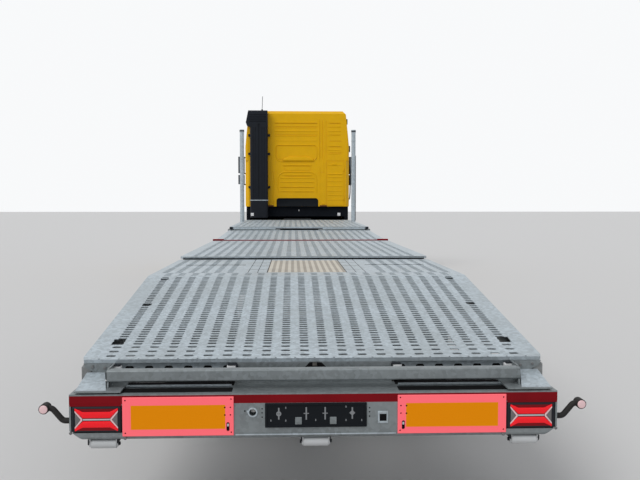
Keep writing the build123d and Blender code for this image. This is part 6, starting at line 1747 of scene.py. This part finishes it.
@dataclass
class TractorSides:
    """Straps and caps of the tanks, tread plates of the steps and the mud flaps."""

    out_x: float = 1.200
    in_x: float = 0.480
    low_z: float = 0.430
    top_z: float = 0.960
    strap: float = 0.0035
    strap_round: float = 0.097

    def straps(self) -> None:
        """Steel straps round the tanks, following their rounded section."""
        bands = []
        thick = self.strap
        for sign, first, last in ((-1, 4.82, 5.36), (1, 4.86, 5.99)):
            for y in (first, (first + last) / 2, last):
                band = block((sign * (self.in_x - thick), y - 0.024, self.low_z - thick),
                             (sign * (self.out_x + thick), y + 0.024, self.top_z + thick))
                select(band, lambda _, way: abs(way.y) > 0.9 * way.length > 0, Pick.EDGES)
                bpy.ops.mesh.bevel(offset=self.strap_round, segments=8, affect="EDGES")
                leave_edit()
                bands.append(band)
        fit("tank_straps", bands, BOLT_STEEL, "tractor", angle=SMOOTH)

    def caps(self) -> None:
        """Filler caps on the tanks' upper shoulders."""
        caps = []
        for sign, y in ((-1, 5.10), (1, 5.70)):
            foot, way = Vector((sign * 1.165, y, 0.925)), Vector((sign, 0, 1)).normalized()
            caps += [drum(foot - way * 0.02, foot + way * 0.030, 0.045),
                     drum(foot + way * 0.028, foot + way * 0.052, 0.052, 12, bevel=0.004)]
        fit("filler_caps", caps, BLACK_PLASTIC, "tractor", angle=SMOOTH)

    def steps(self) -> None:
        """Aluminium treads with raised knobs on the cab steps."""
        tread = block((-0.105, -0.233, 0), (0.105, 0.233, 0.004))
        knob = drum((-0.085, -0.215, 0.003), (-0.085, -0.215, 0.0065), 0.009, 8, 0.007, 0.001, 1)
        repeat(repeat(knob, 6, (0.034, 0, 0)), 14, (0, 0.033, 0))
        plate = join("plate", [tread, knob])
        treads = [copy_to(plate, (sign * 1.120, 7.765, z)) for sign in SIGNS
                  for z in (0.3705, 0.5875, 0.8050)]
        remove(plate)
        fit("step_treads", treads, ALUMINIUM, "tractor")

    def flaps(self) -> None:
        """Mud flaps behind the drive wheels and the trailer's rear wheels."""
        for name, body, y, low_z, high_z, inner, outer in (
                ("drive_flaps", "tractor", 2.584, 0.300, 0.560, 0.72, 1.215),
                ("trailer_flaps", "trailer", -5.712, 0.240, 0.470, 0.745, 1.225)):
            flaps = both((inner, y - 0.004, low_z), (outer, y + 0.004, high_z))
            fit(name, [inset(flap, lambda _, normal: abs(normal.y) > 0.99, (0.018, -0.0015), individual=True)
                       for flap in flaps], BLACK_RUBBER, body)

    def build(self) -> None:
        """Model and dress the tractor's sides."""
        self.straps()
        self.caps()
        self.steps()
        self.flaps()


# The wheels


@dataclass
class Tyre:
    """A road tyre spun from its section, with grooves round the tread and notches in its shoulders."""

    radius: float
    width: float
    rim: float
    steps: int = 64
    groove: float = 0.009
    groove_places: Pair = (0.55, 0.19)
    sharp: float = 28.0
    notch_inset: Pair = (0.0035, -0.006)

    def section(self) -> list[Pair]:
        """Closed section: distance from the tyre's middle, and radius.

        Returns:
            The points in order.
        """
        half, top, bead = self.width / 2, self.radius, self.rim
        tall, wide, floor = top - bead, half * 0.045, top - self.groove
        right = [(half - 0.016, bead), (half - 0.006, bead + 0.012), (half - 0.010, bead + 0.020),
                 (half - 0.001, bead + 0.45 * tall), (half, bead + 0.60 * tall),
                 (half - 0.003, bead + 0.76 * tall), (half - 0.008, bead + 0.78 * tall),
                 (half - 0.010, top - 0.026), (half - 0.020, top - 0.006), (half * 0.70, top)]
        for middle in (half * place for place in self.groove_places):
            right += [(middle + wide, top), (middle + wide * 0.6, floor), (middle - wide * 0.6, floor),
                      (middle - wide, top)]
        return right + [(-x, r) for x, r in reversed(right)]

    def build(self) -> Piece:
        """Spin the section and notch the shoulders.

        Returns:
            The tyre round the x axis, standing at the origin.
        """
        points = self.section()
        clear_selection()
        bpy.ops.mesh.primitive_circle_add(vertices=len(points), radius=1, fill_type="NOTHING")
        piece = bpy.context.object
        for point, (x, r) in zip(piece.data.vertices, points):
            point.co = (x, 0, r)
        with editing(piece):
            bpy.ops.mesh.spin(steps=self.steps, angle=math.tau, center=(0, 0, 0), axis=(1, 0, 0))
            bpy.ops.mesh.select_all(action="SELECT")
            bpy.ops.mesh.remove_doubles(threshold=1e-5)
            bpy.ops.mesh.normals_make_consistent(inside=False)
        turn = math.tau / self.steps

        def notch(place: Vector, _: Vector) -> bool:
            """Every other face of the two shoulder bands."""
            outer = math.hypot(place.y, place.z) > self.radius - 0.012 and abs(place.x) > self.width * 0.36
            return outer and int((math.atan2(place.z, place.y) + math.pi) / turn) % 2 == 0

        return smooth(inset(piece, notch, self.notch_inset, individual=True), self.sharp)


@dataclass
class Wheels:
    """Every tyre, with the nuts and caps of its rim, on the body that spins."""

    tractor: Triple = (0.500, 0.300, 0.2925)
    trailer: Triple = (0.398, 0.232, 0.2265)
    nut_count: int = 10

    def nuts(self, name: str, body: str, middle: Triple, side: int, ring: float, cap: Pair) -> None:
        """Set a ring of wheel nuts and a hub cap on a rim.

        Args:
            name: the piece's name.
            body: the body that spins.
            middle: where the nuts' face meets the axle line.
            side: -1 on the left, 1 on the right.
            ring: the radius of the nuts' circle.
            cap: the hub cap's radius, and how far out it stands.
        """
        parts = []
        (x, y, z), (radius, out) = middle, cap
        for index in range(self.nut_count):
            turn = math.tau * (index + 0.5) / self.nut_count
            at = (y + ring * math.cos(turn), z + ring * math.sin(turn))
            parts += [drum((x - side * 0.004, *at), (x + side * 0.004, *at), 0.018, 12),
                      drum((x, *at), (x + side * 0.024, *at), 0.0145, 6, 0.012)]
        end = x + side * out
        lid = drum((end - side * 0.020, y, z), (end, y, z), radius, 24, radius * 0.82)
        parts.append(inset(lid, lambda place, _: abs(place.x - end) < 1e-4
                           and math.hypot(place.y - y, place.z - z) < 0.01, (radius * 0.25, 0.004)))
        fit(name, parts, WHEEL_SILVER, body, angle=SMOOTH)

    def build(self) -> None:
        """Model one tyre of each size, copy it to every place and fit the nuts."""
        big, small = Tyre(*self.tractor).build(), Tyre(*self.trailer).build()
        rows = (("front", "", big, (1.030, 6.850, 0.500), 0, 1.144, 0.136, (0.050, 0.042)),
                ("drive", "s", big, (0.930, 3.150, 0.500), 0.170, 0.943, 0.140, (0.055, 0.186)),
                ("trailer_rear", "s", small, (0.985, -5.250, 0.398), 0.133, 0.998, 0.122, (0.050, 0.161)),
                ("trailer_front", "s", small, (0.985, -3.940, 0.398), 0.133, 0.998, 0.122, (0.050, 0.161)))
        for sign, side in SIDES:
            for axle, many, tyre, (x, y, z), lean, disc, ring, cap in rows:
                body, node = f"wheel{many}_{axle}_{side}", f"tyre{many}_{axle}_{side}"
                steps = (-lean, lean) if lean else (0,)
                fit(f"{node}_tread", [copy_to(tyre, (sign * x + step, y, z)) for step in steps], TYRE_RUBBER,
                    body, node)
                self.nuts(f"nuts_{axle}_{side}", body, (sign * disc, y, z), sign, ring, cap)
        remove(big, small)


# Studio


@dataclass
class Studio:
    """Pale floor, plain light and the camera of the photograph."""

    lens_mm: float = 42.3
    sensor_mm: float = 36.0
    eye: Triple = (-0.118, -12.026, 1.70)
    pitch: float = 2.89
    yaw: float = 2.094
    far: float = 400.0
    floor_size: float = 240.0
    floor_grey: Triple = (0.62, 0.61, 0.60)
    sky: Triple = (0.93, 0.96, 1.0)
    backdrop: Triple = (0.94, 0.95, 0.96)
    world_strength: float = 0.62
    key_strength: float = 1.5
    key_turn: Triple = (38, -22, -20)
    key_spread: float = 35.0

    def camera(self) -> None:
        """Place the camera."""
        clear_selection()
        turn = (math.radians(90 - self.pitch), 0, math.radians(-self.yaw))
        bpy.ops.object.camera_add(location=self.eye, rotation=turn)
        camera = bpy.context.object
        camera.data.lens = self.lens_mm
        camera.data.sensor_fit = "HORIZONTAL"
        camera.data.sensor_width = self.sensor_mm
        camera.data.clip_end = self.far
        bpy.context.scene.camera = camera

    def floor(self) -> None:
        """Lay the pale floor."""
        clear_selection()
        bpy.ops.mesh.primitive_plane_add(size=self.floor_size, location=(0, 0, 0))
        floor = join("studio_floor", [bpy.context.object])
        material = bpy.data.materials.new("studio_floor")
        material.use_nodes = True
        shader = material.node_tree.nodes["Principled BSDF"]
        wire(material.node_tree, shader, Base_Color=(*self.floor_grey, 1.0), Roughness=0.95)
        floor.data.materials.append(material)

    def light(self) -> None:
        """Even light from the sky with one broad lamp, and a white background."""
        world = bpy.data.worlds.new("studio")
        bpy.context.scene.world = world
        world.use_nodes = True
        tree = world.node_tree
        tree.nodes.clear()
        paths = add_node(tree, "LightPath")
        lit = add_node(tree, "Background", Color=(*self.sky, 1.0), Strength=self.world_strength)
        seen = add_node(tree, "Background", Color=(*self.backdrop, 1.0), Strength=1.0)
        share = maths(tree, "MAXIMUM", paths.outputs["Is Camera Ray"], paths.outputs["Is Glossy Ray"])
        share = maths(tree, "MAXIMUM", share, paths.outputs["Is Transmission Ray"])
        mixed = add_node(tree, "MixShader")
        for slot, socket in zip(mixed.inputs, (share, lit.outputs[0], seen.outputs[0])):
            tree.links.new(socket, slot)
        add_node(tree, "OutputWorld", Surface=mixed.outputs[0])
        clear_selection()
        bpy.ops.object.light_add(type="SUN", rotation=[math.radians(degrees) for degrees in self.key_turn])
        lamp = bpy.context.object
        lamp.data.energy = self.key_strength
        lamp.data.angle = math.radians(self.key_spread)
        bpy.context.scene.view_settings.view_transform = "Standard"

    def build(self) -> None:
        """Set up the whole studio."""
        self.camera()
        self.floor()
        self.light()


def dress_nodes(frame: dict) -> None:
    """Give every node of the frame its finish.
    """
    for name, node in frame["nodes"].items():
        finish = next(finish for finish, starts in NODE_FINISHES if name.startswith(starts))
        node.data.materials.clear()
        node.data.materials.append(finish.material())


def main() -> None:
    """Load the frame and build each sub-assembly in order."""
    logging.basicConfig(level=logging.INFO, format="%(name)s %(message)s")
    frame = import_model()
    Studio().build()
    dress_nodes(frame)
    build_decks()
    for assembly in (RearEnd(), DeckFittings(), CabBack(), CabFront(), TractorSides(), Wheels()):
        assembly.build()
    clear_selection()


if __name__ == "__main__":
    main()
